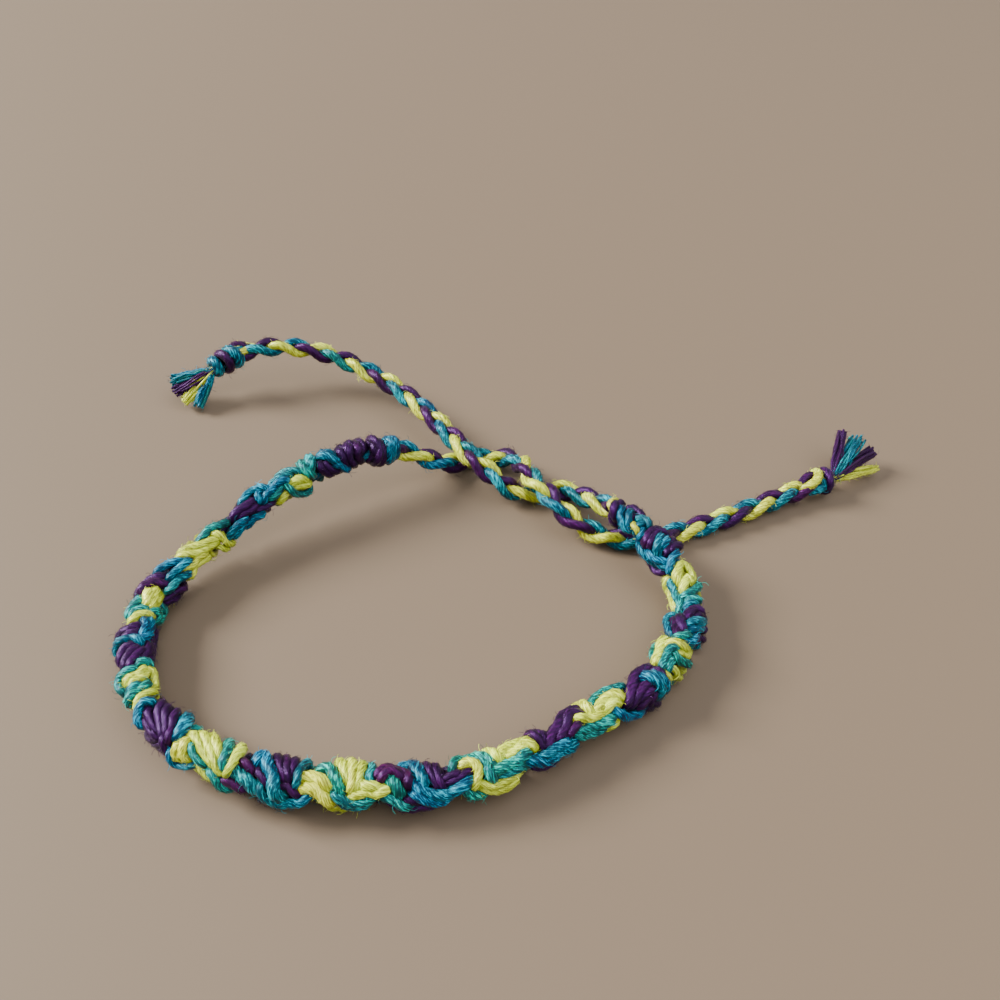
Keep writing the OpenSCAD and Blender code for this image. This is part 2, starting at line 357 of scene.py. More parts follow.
def twisted_lines(tree, given):
    """The given lines in even steps, turned along their length."""
    lines = out_of(tree, "GeometryNodeMeshToCurve", {"Mesh": given["Lines"]})
    lines = out_of(tree, "GeometryNodeResampleCurve", {
        "Curve": lines, "Length": given["Step"],
    }, mode="LENGTH")
    run = node_at(tree, "GeometryNodeSplineParameter").outputs["Length"]
    whole = maths(tree, "MULTIPLY", given["Turns per metre"], 2 * math.pi)
    lines = out_of(tree, "GeometryNodeSetCurveTilt", {
        "Curve": lines, "Tilt": maths(tree, "MULTIPLY", run, whole),
    })
    lines = store(tree, lines, "length", run)
    chance = node_at(tree, "FunctionNodeRandomValue", {"Seed": given["Seed"]}, data_type="FLOAT")
    return store(tree, lines, "strand", chance.outputs["Value"], domain="CURVE")


def lobed_profile(tree, given):
    """A circle 1 across with a lobe for each ply."""
    circle = out_of(tree, "GeometryNodeCurvePrimitiveCircle", {
        "Resolution": given["Sides"], "Radius": 0.5,
    })
    spot = node_at(tree, "GeometryNodeSplineParameter").outputs["Factor"]
    lobe = maths(tree, "COSINE", maths(tree, "MULTIPLY", spot, 2 * math.pi * PLIES))
    less = maths(tree, "ADD", lobe, -1.0)
    size = maths(tree, "MULTIPLY_ADD", less, given["Ply depth"], 1.0)
    here = out_of(tree, "GeometryNodeInputPosition")
    lobed = out_of(tree, "ShaderNodeVectorMath", {0: here, "Scale": size}, operation="SCALE")
    profile = store(tree, circle, "ply", lobe)
    profile = store(tree, profile, "round", here, data_type="FLOAT_VECTOR")
    return out_of(tree, "GeometryNodeSetPosition", {"Geometry": profile, "Position": lobed})


def spun_strands(tree, given):
    """The strands as a mesh, and how open each spot of it lies, from 0 to 1."""
    width = out_of(tree, "GeometryNodeInputNamedAttribute", {"Name": "width"}, data_type="FLOAT")
    spun = out_of(tree, "GeometryNodeCurveToMesh", {
        "Curve": twisted_lines(tree, given), "Profile Curve": lobed_profile(tree, given),
        "Scale": width, "Fill Caps": True,
    })
    spun = out_of(tree, "GeometryNodeSetShadeSmooth", {"Geometry": spun, "Shade Smooth": True})
    middle = node_at(tree, "GeometryNodeObjectInfo", {"Object": given["Route"]}).outputs["Geometry"]
    away = node_at(tree, "GeometryNodeProximity", {0: middle}, target_element="EDGES")
    free = mapped(tree, away.outputs["Distance"], given["Deep radius"], given["Open radius"], 0.0, 1.0)
    return store(tree, spun, "open", free), free


print("plies in a strand:", PLIES)

# %% [markdown]
# ## The floss tree: loose fibres
#
# Cotton always has a faint halo. This branch scatters short bent fibres over the open parts of the
# strands, most of them short and a few long. Each has only a few faces, because there are so many.

# %% Loose fibres
FIBRES_PER_M2 = 4300000.0
FIBRE_RADIUS = 0.026  # as a share of its length, as the bend is
OPEN_ENOUGH = 0.3
SHORTEST, LONGER = 0.4, 1.1


def loose_fibres(tree, given, spun, free):
    bend = out_of(tree, "GeometryNodeCurveQuadraticBezier", {
        "Resolution": 2, "Start": (0, 0, -0.08), "Middle": (0.25, 0, 0.55), "End": (0.95, 0.2, 0.35),
    })
    thread = out_of(tree, "GeometryNodeCurvePrimitiveCircle", {"Resolution": 3, "Radius": FIBRE_RADIUS})
    fibre = out_of(tree, "GeometryNodeCurveToMesh", {"Curve": bend, "Profile Curve": thread})
    bare = maths(tree, "GREATER_THAN", free, OPEN_ENOUGH)
    roots = node_at(tree, "GeometryNodeDistributePointsOnFaces", {
        "Mesh": spun, "Density": maths(tree, "MULTIPLY", bare, given["Fibres per square metre"]),
        "Seed": given["Seed"],
    })
    spin = node_at(tree, "FunctionNodeRandomValue", {
        0: (-0.5, -0.5, 0), 1: (0.5, 0.5, 2 * math.pi), "Seed": given["Seed"],
    }, data_type="FLOAT_VECTOR")
    lie = out_of(tree, "FunctionNodeRotateRotation", {
        0: roots.outputs["Rotation"], 1: spin.outputs["Value"],
    }, rotation_space="LOCAL")
    luck = node_at(tree, "FunctionNodeRandomValue", {"Seed": given["Seed"]}, data_type="FLOAT")
    luck = maths(tree, "POWER", luck.outputs["Value"], 4.0)
    luck = maths(tree, "MULTIPLY_ADD", luck, LONGER, SHORTEST)
    fuzz = out_of(tree, "GeometryNodeInstanceOnPoints", {
        "Points": roots.outputs["Points"], "Instance": fibre,
        "Rotation": lie, "Scale": maths(tree, "MULTIPLY", luck, given["Fibre length"]),
    })
    # Loose fibres count as fully open, so no painted shade darkens them.
    return store(tree, fuzz, "open", 1.0, domain="INSTANCE")


print("fibres on a square cm of open floss:", round(FIBRES_PER_M2 / 10000))

# %% [markdown]
# ## The floss tree: all together
#
# It is one tree for every strand of the bracelet, so the twist and the fuzz can be changed in one
# place. What differs from piece to piece comes in through its named inputs.

# %% Floss tree


def floss_tree():
    tree = bpy.data.node_groups.new("floss", "GeometryNodeTree")
    for name, kind, value in (
        ("Lines", "Geometry", None),
        ("Turns per metre", "Float", 170.0),
        ("Ply depth", "Float", 0.05),
        ("Sides", "Int", 18),
        ("Step", "Float", 0.0004),
        ("Dye drift", "Float", 0.2),
        ("Fibres per square metre", "Float", FIBRES_PER_M2),
        ("Fibre length", "Float", 0.0006),
        ("Route", "Object", None),
        # Between these distances from the route's middle the painted shade of the hollows fades out.
        ("Deep radius", "Float", 0.0011),
        ("Open radius", "Float", 0.0024),
        ("Seed", "Int", 1),
        ("Floss", "Material", None),
    ):
        socket = tree.interface.new_socket(name, in_out="INPUT", socket_type="NodeSocket" + kind)
        if value is not None:
            socket.default_value = value
    tree.interface.new_socket("Strands", in_out="OUTPUT", socket_type="NodeSocketGeometry")
    given = node_at(tree, "NodeGroupInput").outputs
    spun, free = spun_strands(tree, given)
    both = node_at(tree, "GeometryNodeJoinGeometry")
    for part in (loose_fibres(tree, given, spun, free), spun):
        tree.links.new(part, both.inputs[0])
    real = out_of(tree, "GeometryNodeRealizeInstances", {"Geometry": both.outputs[0]})
    dyed = out_of(tree, "GeometryNodeSetMaterial", {
        "Geometry": store(tree, real, "drift", given["Dye drift"]), "Material": given["Floss"],
    })
    node_at(tree, "NodeGroupOutput", {0: dyed})
    return tree


FLOSS_TREE = floss_tree()
SOCKETS = {
    item.name.lower().replace(" ", "_"): item.identifier
    for item in FLOSS_TREE.interface.items_tree if item.in_out == "INPUT"
}
print("floss tree:", len(FLOSS_TREE.nodes), "nodes")

# %% [markdown]
# ## From lines to a piece
#
# A strand is its line, its width in millimetres, and whether it closes on itself. `floss_piece`
# hands a list of strands to the tree and keeps the result as a mesh. Each piece has one colour, so
# a scene can dye it again through its material slot.

# %% Making a piece of floss
ROUTE_STEPS = 900
made = []
whole_route = at(np.linspace(-ORIGIN, len(ROUTE) - ORIGIN - 1, ROUTE_STEPS)) * MM
route_mesh = bpy.data.meshes.new("route")
route_mesh.from_pydata(whole_route.tolist(), [(i, i + 1) for i in range(ROUTE_STEPS - 1)], [])
route = add_object("route", route_mesh)


def lines_mesh(name, strands):
    """Strands as edges, with the width at every point. Strands: (points in mm, width, closed)."""
    points, edges, widths = [], [], []
    for line, width, closed in strands:
        first, count = len(points), len(line)
        points.extend((np.asarray(line) * MM).tolist())
        edges.extend((first + i, first + i + 1) for i in range(count - 1))
        if closed:
            edges.append((first + count - 1, first))
        widths.extend(np.broadcast_to(np.asarray(width, float) * MM, count).tolist())
    mesh = bpy.data.meshes.new(name + "_lines")
    mesh.from_pydata(points, edges, [])
    mesh.attributes.new("width", "FLOAT", "POINT").data.foreach_set("value", widths)
    return mesh


def floss_piece(name, colour, strands, replaces=(), slot=True, **inputs):
    """One piece of floss. Further values go to the tree's inputs of those names."""
    lines = add_object(name + "_lines", lines_mesh(name, strands))
    spinner = lines.modifiers.new("floss", "NODES")
    spinner.node_group = FLOSS_TREE
    values = {"floss": FLOSS[colour], "seed": len(made) + 1, "route": route, **inputs}
    for key, value in values.items():
        spinner[SOCKETS[key]] = value
    mesh = bpy.data.meshes.new_from_object(lines.evaluated_get(bpy.context.evaluated_depsgraph_get()))
    bpy.data.objects.remove(lines)
    mesh.name = name
    piece = add_object(name, mesh)
    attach(piece, "root")
    if replaces:
        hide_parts(*replaces)
    made.append(piece)
    return piece


print("inputs of the tree:", len(SOCKETS))

# %% [markdown]
# ## The braided ties
#
# A tie is a loose three-strand braid, one strand of each colour. Every strand swings from side to
# side and dips under its neighbours twice in each swing, which is a figure of eight across the
# line of the tie. The two ties are the free cords of the bracelet, so they are the first pieces.

# %% Braided ties
# All in millimetres: the length of one lay, how far a strand swings and dips, its width, and the
# distance between the points of its line.
BRAID_LAY = 11.4
BRAID_SWING = 0.78
BRAID_DIP = 0.54
BRAID_STRAND = 1.32
BRAID_STEP = 0.2
# Where each tie leaves the band and where its stopper knot sits, as places on the route.
START_OF_RIGHT_TIE, RIGHT_STOPPER = -0.4, -20.0
START_OF_LEFT_TIE, LEFT_STOPPER = 22.5, 43.65


def spaced(points, step):
    """The same line with points that far apart."""
    lengths = np.r_[0, np.cumsum(np.linalg.norm(np.diff(points, axis=0), axis=1))]
    marks = np.linspace(0, lengths[-1], max(2, int(round(lengths[-1] / step)) + 1))
    return np.stack([np.interp(marks, lengths, points[:, k]) for k in range(3)], 1)


def join(name, pieces):
    """Several pieces as one mesh that keeps their materials."""
    whole = pieces[0]
    with bpy.context.temp_override(
        active_object=whole, selected_editable_objects=pieces, selected_objects=pieces,
    ):
        bpy.ops.object.join()
    for piece in pieces[1:]:
        made.remove(piece)
    whole.name = whole.data.name = name
    return whole


def braid(name, start, end, phase):
    """A braid from place to place. The phase is the part of a lay at which it starts."""
    path = spaced(at(np.linspace(start, end, 500)), BRAID_STEP)
    side, over = beside(unit(np.gradient(path, axis=0)))
    run = np.arange(len(path)) * line_length(path) / (len(path) - 1)
    strands = []
    for k, colour in enumerate(FLOSS):
        angle = 2 * np.pi * (run / BRAID_LAY + k / 3 + phase)
        swing = BRAID_SWING * np.cos(angle)[:, None] * side
        line = above(path + swing + BRAID_DIP * np.sin(2 * angle)[:, None] * over, BRAID_STRAND / 2)
        strands.append(floss_piece(
            f"{name}_{k}", colour, [(line, BRAID_STRAND, False)], slot=False,
            deep_radius=0.0002, open_radius=0.001,
        ))
    return join(name, strands), path * MM


# Each braid ends just inside its stopper knot.
right_braid, right_path = braid("right_tie_braid", START_OF_RIGHT_TIE, RIGHT_STOPPER + 0.12, 0.04)
left_braid, left_path = braid("left_tie_braid", START_OF_LEFT_TIE, LEFT_STOPPER - 0.4, 0.62)
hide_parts("right_tie")
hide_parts("left_tie")
for label, path in (("right tie mm:", right_path), ("left tie mm:", left_path)):
    print(label, round(line_length(path) / MM, 1))

# %% [markdown]
# ## Stopper knots
#
# Each tie ends in an overhand knot. The three strands go round together and leave through the
# middle. From outside one sees a tight ring at the tassel, turns that cross it at a slant, and the
# strands of the braid that run into them. The rows below are those turns, in a frame that stands on
# the knot: millimetres along the tie, to its side and upwards.

# %% Stopper knots
LOWEST_RING, LOWEST_STRAND = 0.6, 0.55


def in_frame(place, rows):
    """Points given along, beside and above the route at a place."""
    along, out, up = axes(place)
    if place < 0:
        along, out = -along, -out
    return at(place) + np.asarray(rows, float) @ np.array([along, out, up])


def ring(middle, side, height, slant, lean):
    """A closed turn round the route. Slant and lean tilt it along the route, in mm."""
    angle = np.radians(np.arange(0, 360, 12))
    tilted = middle + slant * np.cos(angle) + lean * np.sin(angle)
    return np.c_[tilted, side * np.cos(angle), height * np.sin(angle)]


def stopper_knot(name, place, rows):
    """One piece for each colour. Rows: (colour, width, points), or a ring's sizes for the points."""
    turns = {}
    for colour, width, shape in rows:
        closed = isinstance(shape, tuple)
        line = in_frame(place, ring(*shape)) if closed else smooth(in_frame(place, shape), 7)
        line = above(line, LOWEST_RING if closed else LOWEST_STRAND)
        turns.setdefault(colour, []).append((line, width, closed))
    return [
        floss_piece(
            f"{name}_{short(colour)}", colour, strands, replaces=(name,),
            deep_radius=0.0006, open_radius=0.0017,
        )
        for colour, strands in turns.items()
    ]


right_knot = stopper_knot("right_stopper_knot", RIGHT_STOPPER, [
    (PURPLE, 1.3, (1.35, 1.35, 1.25, -0.35, 0.15)),
    (YELLOW, 1.3, [
        (-2.9, 0, 0), (-2.2, 0.5, 0.6), (-1.3, 0.6, 1.1), (-0.4, 0.3, 1.4), (0.2, -0.4, 1.4),
        (0.5, -1.15, 0.9), (0.55, -1.4, 0.1), (0.7, -0.9, -0.6),
    ]),
    (PURPLE, 1.2, [
        (-2.9, 0, 0), (-2.1, -0.6, 0.6), (-0.9, -0.95, 0.9), (0.1, -0.8, 0.7), (0.6, -0.2, 0.3),
    ]),
    (TEAL, 1.3, [(-2.8, 0, 0), (-1.9, 0.6, -0.2), (-0.7, 1.0, -0.1), (0.3, 0.9, 0.2), (0.8, 0.3, 0.2)]),
    (TEAL, 1.2, (0.2, 1.0, 0.85, 0.3, 0)),
])
left_knot = stopper_knot("left_stopper_knot", LEFT_STOPPER, [
    (TEAL, 1.5, (2.3, 1.0, 0.9, 0.2, -0.2)),
    (PURPLE, 1.3, (0.9, 1.35, 1.25, 0.5, -0.3)),
    (TEAL, 1.6, (-0.5, 1.15, 1.1, 0.6, -0.2)),
    (PURPLE, 1.3, [
        (-3.1, 0.1, -0.2), (-2.5, 0.5, 0.4), (-1.9, 0.85, 0.75), (-0.9, 0.7, 0.9), (0.2, 0.4, 0.6),
    ]),
    (YELLOW, 1.2, [(-3.1, 0, -0.2), (-2.6, -0.45, 0.1), (-2, -0.6, 0.3), (-0.8, -0.2, 0)]),
    (TEAL, 1.2, [(-3, 0, -0.2), (-2.5, 0.1, -0.2), (-1.8, 0, 0.5), (-0.8, 0.1, 0.4)]),
])
print("stopper knots:", len(right_knot) + len(left_knot), "pieces")

# %% [markdown]
# ## Tassels
#
# Past the stopper knot the floss is cut and left loose. It parts by colour into locks, and each
# lock spreads a little towards its cut end. A lock is a bunch of thin plies that start together in
# the knot and end at their own spots round the lock's tip, with a fixed seed for the scatter.

# %% Tassels
PLIES_IN_A_LOCK = 26
PLY_WIDTH = 0.36
PLY_TURN = 2.4  # the angle from one ply to the next, which spreads them evenly over the tip
PLY_WAVE = 0.16
FLATTENED = 0.75
LOWEST_PLY = 0.2
SCATTER_SEED = 11


def lock_of_floss(root, fork, tip, spread, chance):
    """Lines of the plies of one lock, from the knot past the fork to round the tip."""
    ahead_of = unit(tip - fork)
    side, over = beside(ahead_of)
    rows = []
    for k in range(PLIES_IN_A_LOCK):
        angle = PLY_TURN * k + chance.uniform(-0.4, 0.4)
        r = math.sqrt((k + 0.5) / PLIES_IN_A_LOCK)
        off = r * (math.cos(angle) * side + FLATTENED * math.sin(angle) * over)
        wave = chance.normal(0, PLY_WAVE, (3, 3))
        cut = tip + off * spread - ahead_of * chance.uniform(0, 1.0) + wave[2] * 0.5
        line = smooth([
            root + off * 0.35,
            fork + off * 0.5,
            (2 * fork + cut) / 3 + off * (0.3 + 0.25 * spread) + wave[0],
            (fork + 2 * cut) / 3 + off * 0.25 * spread + wave[1],
            cut,
        ], 8)
        rows.append((above(line, LOWEST_PLY), PLY_WIDTH, False))
    return rows


def tassel(name, stopper, tail, locks):
    """Locks: rows of (colour, tip, spread)."""
    chance = np.random.default_rng(SCATTER_SEED)
    root, fork = at(stopper + 0.5 * (tail - stopper)), at(tail)
    plies = {}
    for colour, tip, spread in locks:
        rows = lock_of_floss(root, fork, np.array(tip, float), spread, chance)
        plies.setdefault(colour, []).extend(rows)
    return [
        floss_piece(
            f"{name}_{short(colour)}", colour, rows, replaces=(name,), ply_depth=0.03, sides=8,
            turns_per_metre=60.0, step=0.0006, deep_radius=-0.001, open_radius=0.0008,
        )
        for colour, rows in plies.items()
    ]


right_tassel = tassel("right_tassel", RIGHT_STOPPER, -21, [
    (PURPLE, (54.8, 38, 4.6), 0.5), (TEAL, (57.3, 37.7, 3.7), 1.05),
    (PURPLE, (59.7, 36.8, 2.4), 0.75), (YELLOW, (60, 34.6, 1.1), 0.6),
])
left_tassel = tassel("left_tassel", LEFT_STOPPER, 45, [
    (TEAL, (-40.6, 38.1, 3), 0.95), (PURPLE, (-39.8, 36.6, 2), 0.85),
    (YELLOW, (-38.3, 35.6, 1.2), 0.75), (TEAL, (-36.2, 35.1, 0.9), 0.75),
])
print("tassels:", len(right_tassel) + len(left_tassel), "pieces")

# %% [markdown]
# ## Core strands
#
# Four strands lie together through the whole band. They show only where a hitch is thin, so they
# are a plain twisted bundle, about as thick as the solid model's core.

# %% Core strands
CORE_OFFSET, CORE_STRAND, CORE_LAY = 0.62, 1.05, 9
core_place = np.linspace(-0.2, LAST + 0.2, 700)
core_line = at(core_place)
_, core_out, core_up = axes(core_place)
core_run = np.linspace(0, line_length(core_line), len(core_line))
core = []
for k in range(4):
    angle = 2 * np.pi * (core_run / CORE_LAY + k / 4)
    aside = np.cos(angle)[:, None] * core_out + np.sin(angle)[:, None] * core_up
    core.append((core_line + CORE_OFFSET * aside, CORE_STRAND, False))
for colour, strands in ((TEAL, core[:3]), (PURPLE, core[3:])):
    floss_piece(
        f"core_strands_{short(colour)}", colour, strands, replaces=("core_strands",),
        fibres_per_square_metre=0.2 * FIBRES_PER_M2, step=0.0008,
    )
print("core strands:", len(core))

# %% [markdown]
# ## Lines on the band
#
# A strand on a knot lies on a round surface, so its points are given as a place along the band
# and an angle round it: 0 degrees looks out of the bracelet, 90 is the top, and 180 looks in. The
# ends of an open strand are drawn down between its neighbours, as the needle would take them.
#
# The band is no even tube. GIRTH is its thickness at each place, as a share of the thickest. FACE is
# the angle that looks at the camera. INNER and OUTER say by how many millimetres its outline swells
# or narrows on either side of that angle, at each place and halfway to the next.

# %% The band's surface
KNOT_R = 2.35
GIRTH = [
    0.77, 0.82, 0.8, 0.9, 0.92, 0.97, 0.93, 0.98, 0.98, 1, 1, 1,
    1, 1, 1, 1, 1, 1, 1, 1, 0.95, 0.9, 0.77,
]
FACE = [
    140, 135, 135, 130, 130, 125, 115, 105, 90, 75, 65, 60,
    60, 60, 60, 65, 65, 70, 80, 100, 120, 125, 130,
]
INNER = [
    -0.2, -0.5, 0.1, 0.1, 0.5, 0.1, -0.1, 0.1, 0.7, -0.2, 0.7, 0.5, 0, 0.1, 0.1, -0.2, 0,
    -0.2, 0.4, 0.2, 0, 0.2, 0.4, 0.2, 0.6, -0.2, 0.1, -0.4, 0.1, -0.3, 0, -0.2, -0.4,
    0, 0.3, 0.4, 0.3, 0.8, 0.3, -0.1, 0, -0.3, 0.3, -0.6, -0.4,
]
OUTER = [
    -0.1, 0.5, 0.2, 0.5, 0.3, -0.1, 0.3, 0, -0.4, -0.3, 0, 0, -0.3, 0, 0, 0.3, 0.3,
    0.2, 0.4, 0.5, -0.2, 0.3, 0.7, 0, 0.1, 0.2, 0.4, -0.2, 0.5, 0, -0.1, -0.8, 0.8,
    -0.3, -1, -0.4, -0.2, -0.7, 0, -0.4, 0, 0.2, 0, -0.1, -0.4,
]
PLACES = range(LAST + 1)
HALF_PLACES = range(2 * LAST + 1)


def on_band(place, angle, sunk):
    """Points sunk so many mm under the crest of the wraps."""
    place = np.asarray(place, float)
    _, out, up = axes(place)
    tilt = np.radians(angle - np.interp(place, PLACES, FACE))
    inner, outer = (np.interp(2 * place, HALF_PLACES, side) for side in (INNER, OUTER))
    swell = np.where(tilt > 0, inner, outer)
    r = KNOT_R * np.interp(place, PLACES, GIRTH) + swell * np.abs(np.sin(tilt)) - sunk
    angle = np.radians(angle)
    return at(place) + r[:, None] * (np.cos(angle)[:, None] * out + np.sin(angle)[:, None] * up)


print("thickest part of the band in mm:", 2 * KNOT_R)

# %% [markdown]
# ## Turns of floss
#
# Two kinds of turn make a knot. An open turn is charted point by point and dives under its
# neighbours at both ends. A closed turn goes all the way round, and is given by a few angles with
# the place, depth and width it has there. A fan is a set of closed turns side by side.

# %% Turns of floss
MM_PER_PLACE, MM_PER_DEGREE = 6.5, 0.035
DIVE = ((0.4, 0.45, 0.9), (0.75, 1.3, 0.7))  # mm past the end, mm deeper, share of the width
RISE_KEPT, SINK = 0.6, 0.1
TIGHT_DEGREES, TIGHT_SHARES = (10, 60), (0.68, 1)
WRAP_WIDTH = 0.96
WRAP_PITCH = 0.165  # from wrap to wrap on the far side, in places
BARE, COVERED = 0.55, 1.1  # how deep the wide side of a fan lies, in mm
GATHERED = (1.2, 0.7)  # depth in mm and share of the width, where a fan is pulled together
FAR_SIDE = (0.6, 1.14)  # the same on the side that turns away


def turn_of_floss(points, width, rise, tight=None):
    """An open strand through (place, angle) points. Both ends thin out and dive under.

    Round the angle called tight, where other strands pull it together, it is thinner too.
    """
    points = np.array(points, float)
    scale = np.array([MM_PER_PLACE, MM_PER_DEGREE])
    first, last = (unit((points[a] - points[b]) * scale) / scale for a, b in ((0, 1), (-1, -2)))
    near, far = (past for past, _, _ in DIVE)
    places = np.vstack([
        points[0] + far * first, points[0] + near * first, points,
        points[-1] + near * last, points[-1] + far * last,
    ])
    sunk = np.full(len(places), width / 2 - RISE_KEPT * rise + SINK)
    share = np.ones(len(places))
    for ends, (_, deeper, thinner) in zip(([1, -2], [0, -1]), DIVE):
        sunk[ends] += deeper
        share[ends] = thinner
    line = smooth(np.c_[places, sunk, share], 6)
    share = np.clip(line[:, 3], 0.6, 1) * width
    if tight is not None:
        share *= np.interp(np.abs(line[:, 1] - tight), TIGHT_DEGREES, TIGHT_SHARES)
    return above(on_band(line[:, 0], line[:, 1], line[:, 2]), share / 2), share, False


def round_the_band(keys, width):
    """A closed turn. Keys: rows of (angle, place, sunk, share of the width)."""
    keys = np.array(sorted((key[0] % 360, *key[1:]) for key in keys))
    keys = np.vstack([keys[-1] - [360, 0, 0, 0], keys, keys[0] + [360, 0, 0, 0]])
    angles = np.arange(0, 360, 9.0)
    before = np.searchsorted(keys[:, 0], angles, side="right") - 1
    share = (angles - keys[before, 0]) / (keys[before + 1, 0] - keys[before, 0])
    share = (1 - np.cos(np.pi * share[:, None])) / 2
    place, sunk, size = (keys[before, 1:] + (keys[before + 1, 1:] - keys[before, 1:]) * share).T
    return above(on_band(place, angles, sunk), width * size / 2), width * size, True


def fan_of_wraps(number, count, top, gather, shown):
    """Closed turns that spread at the top angle, gather at the other, and lie even behind."""
    rows = []
    (top_low, top_high), (low, high) = sorted(top[1:]), sorted(gather[1:])
    for k in range(count):
        f = k / (count - 1)
        rows.append(round_the_band([
            (top[0], top_low + (top_high - top_low) * f, BARE if shown else COVERED, 1),
            (gather[0], low + (high - low) * f, *GATHERED),
            ((top[0] + gather[0]) / 2 + 180, number + (k - (count - 1) / 2) * WRAP_PITCH, *FAR_SIDE),
        ], WRAP_WIDTH))
    return rows


print("width of a wrap in mm:", WRAP_WIDTH)

# %% [markdown]
# ## The fans
#
# Each wrapped knot is a fan: three or four turns of its own colour that spread on one side and
# gather on the other, where the teal strand pulls them together. The table gives the number of
# turns, then the angle and the first and last place on the wide side, and the same on the
# gathered side. No two knots on a handmade bracelet are alike, so every row is given one by one.

# %% Fans of the knots
FANS = {
    "purple_knot_01": (3, (85, 1, 0.6), (160, 1.15, 0.75)),
    "yellow_knot_01": (3, (60, 2.35, 2), (175, 2.55, 2.2)),
    "purple_knot_02": (3, (80, 3.2, 2.75), (160, 3.25, 2.85)),
    "yellow_knot_02": (4, (100, 4.35, 3.85), (170, 4.4, 4.05)),
    "purple_knot_03": (3, (70, 5.4, 4.8), (170, 5.3, 4.9)),
    "yellow_knot_03": (3, (70, 6.3, 6.05), (150, 6.45, 6.05)),
    "purple_knot_04": (4, (50, 7.2, 7.05), (170, 7.5, 6.85)),
    "yellow_knot_04": (3, (65, 8, 7.85), (130, 8.6, 8)),
    "purple_knot_05": (4, (120, 8.75, 9.3), (45, 9.4, 9.55)),
    "yellow_knot_05": (4, (120, 9.7, 10.05), (45, 10.35, 10.4)),
    "purple_knot_06": (3, (150, 10.9, 11.3), (70, 11.15, 11.3)),
    "yellow_knot_06": (4, (145, 11.85, 12.3), (50, 12.1, 12.15)),
    "purple_knot_07": (4, (110, 12.95, 13.6), (55, 13.1, 13.2)),
    "yellow_knot_07": (3, (120, 13.85, 14.05), (25, 13.75, 13.9)),
    "purple_knot_08": (3, (115, 14.85, 15.5), (45, 14.7, 15.05)),
    "yellow_knot_08": (3, (110, 15.75, 16.2), (30, 15.65, 16.1)),
    "purple_knot_09": (3, (120, 16.7, 17.3), (40, 16.6, 16.85)),
    "yellow_knot_09": (3, (135, 17.8, 18.15), (50, 17.55, 18.05)),
    "purple_knot_10": (3, (175, 18.45, 19.25), (55, 18.55, 19.1)),
    "yellow_knot_10": (3, (150, 20.1, 20.3), (75, 19.25, 19.85)),
    "purple_knot_11": (3, (120, 21, 21.15), (90, 20.5, 20.65)),
}
KNOTS = list(FANS)
STRANDS = {}


def charted():
    """How many strands have been charted so far."""
    return sum(len(rows) for rows in STRANDS.values())


print("fans:", len(FANS))

# %% [markdown]
# ## Strands of the back left
#
# These rows are the strands that ride on top of the fans: the colour, the width and the rise above
# the fan in millimetres, and the points, each a place and an angle. They were read off the
# photograph strand by strand. At the back left the band climbs off the table, and the knots are
# small and loose.

# %% Back left
STRANDS["start_knot"] = [
    (PURPLE, 1.3, 0.4, (0.3, 70), (0.12, 100), (0.2, 150), (0.4, 200)),
    (PURPLE, 1.2, 0.4, (0.1, 55), (0.25, 130), (0.15, 195)),
    (TEAL, 1.4, 0.45, (-0.45, 90), (-0.25, 130), (-0.15, 215)),
    (TEAL, 1.1, 0.4, (-0.3, 95), (-0.25, 180), (-0.2, 210)),
]
STRANDS["purple_knot_01"] = [
    (PURPLE, 1.5, 0.4, (0.7, 60), (0.8, 95), (0.78, 140), (0.7, 185)),
    (PURPLE, 1.5, 0.45, (0.85, 60), (1, 95), (1, 140), (0.92, 185)),
    (PURPLE, 1.4, 0.35, (1.05, 80), (1.15, 125), (1.08, 175)),
    (TEAL, 1.2, 0.3, (1.45, 65), (1.3, 85), (1.28, 115)),
    (TEAL, 1.2, 0.3, (1.5, 80), (1.42, 100), (1.3, 128)),
    (PURPLE, 1.5, 0.5, (1.62, 112), (1.56, 145), (1.4, 180)),
    (PURPLE, 1.5, 0.5, (1.5, 118), (1.44, 150), (1.3, 180)),
    (TEAL, 0.95, 0.2, (1.3, 140), (1.22, 160), (1.1, 178)),
]
STRANDS["yellow_knot_01"] = [
    (TEAL, 1.5, 0.5, (1.68, 50), (1.66, 85), (1.74, 112)),
    (TEAL, 1.4, 0.45, (1.86, 55), (1.84, 85), (1.79, 115)),
    (YELLOW, 1.3, 0.5, (2.25, 130), (2.05, 125), (1.95, 150)),
    (YELLOW, 1.2, 0.4, (2.25, 150), (2.1, 165), (1.95, 175)),
    (TEAL, 0.95, 0.4, (2.35, 130), (2.35, 155), (2.2, 195), (1.95, 220)),
    (TEAL, 0.95, 0.3, (2.3, 45), (2.15, 60), (2, 100)),
    (TEAL, 1, 0.3, (2.6, 90), (2.4, 85), (2.25, 95)),
    (TEAL, 0.95, 0.3, (2.7, 140), (2.55, 130), (2.35, 110)),
    (YELLOW, 1.2, 0.2, (2.6, -180), (2.45, -200), (2.35, -210)),
]
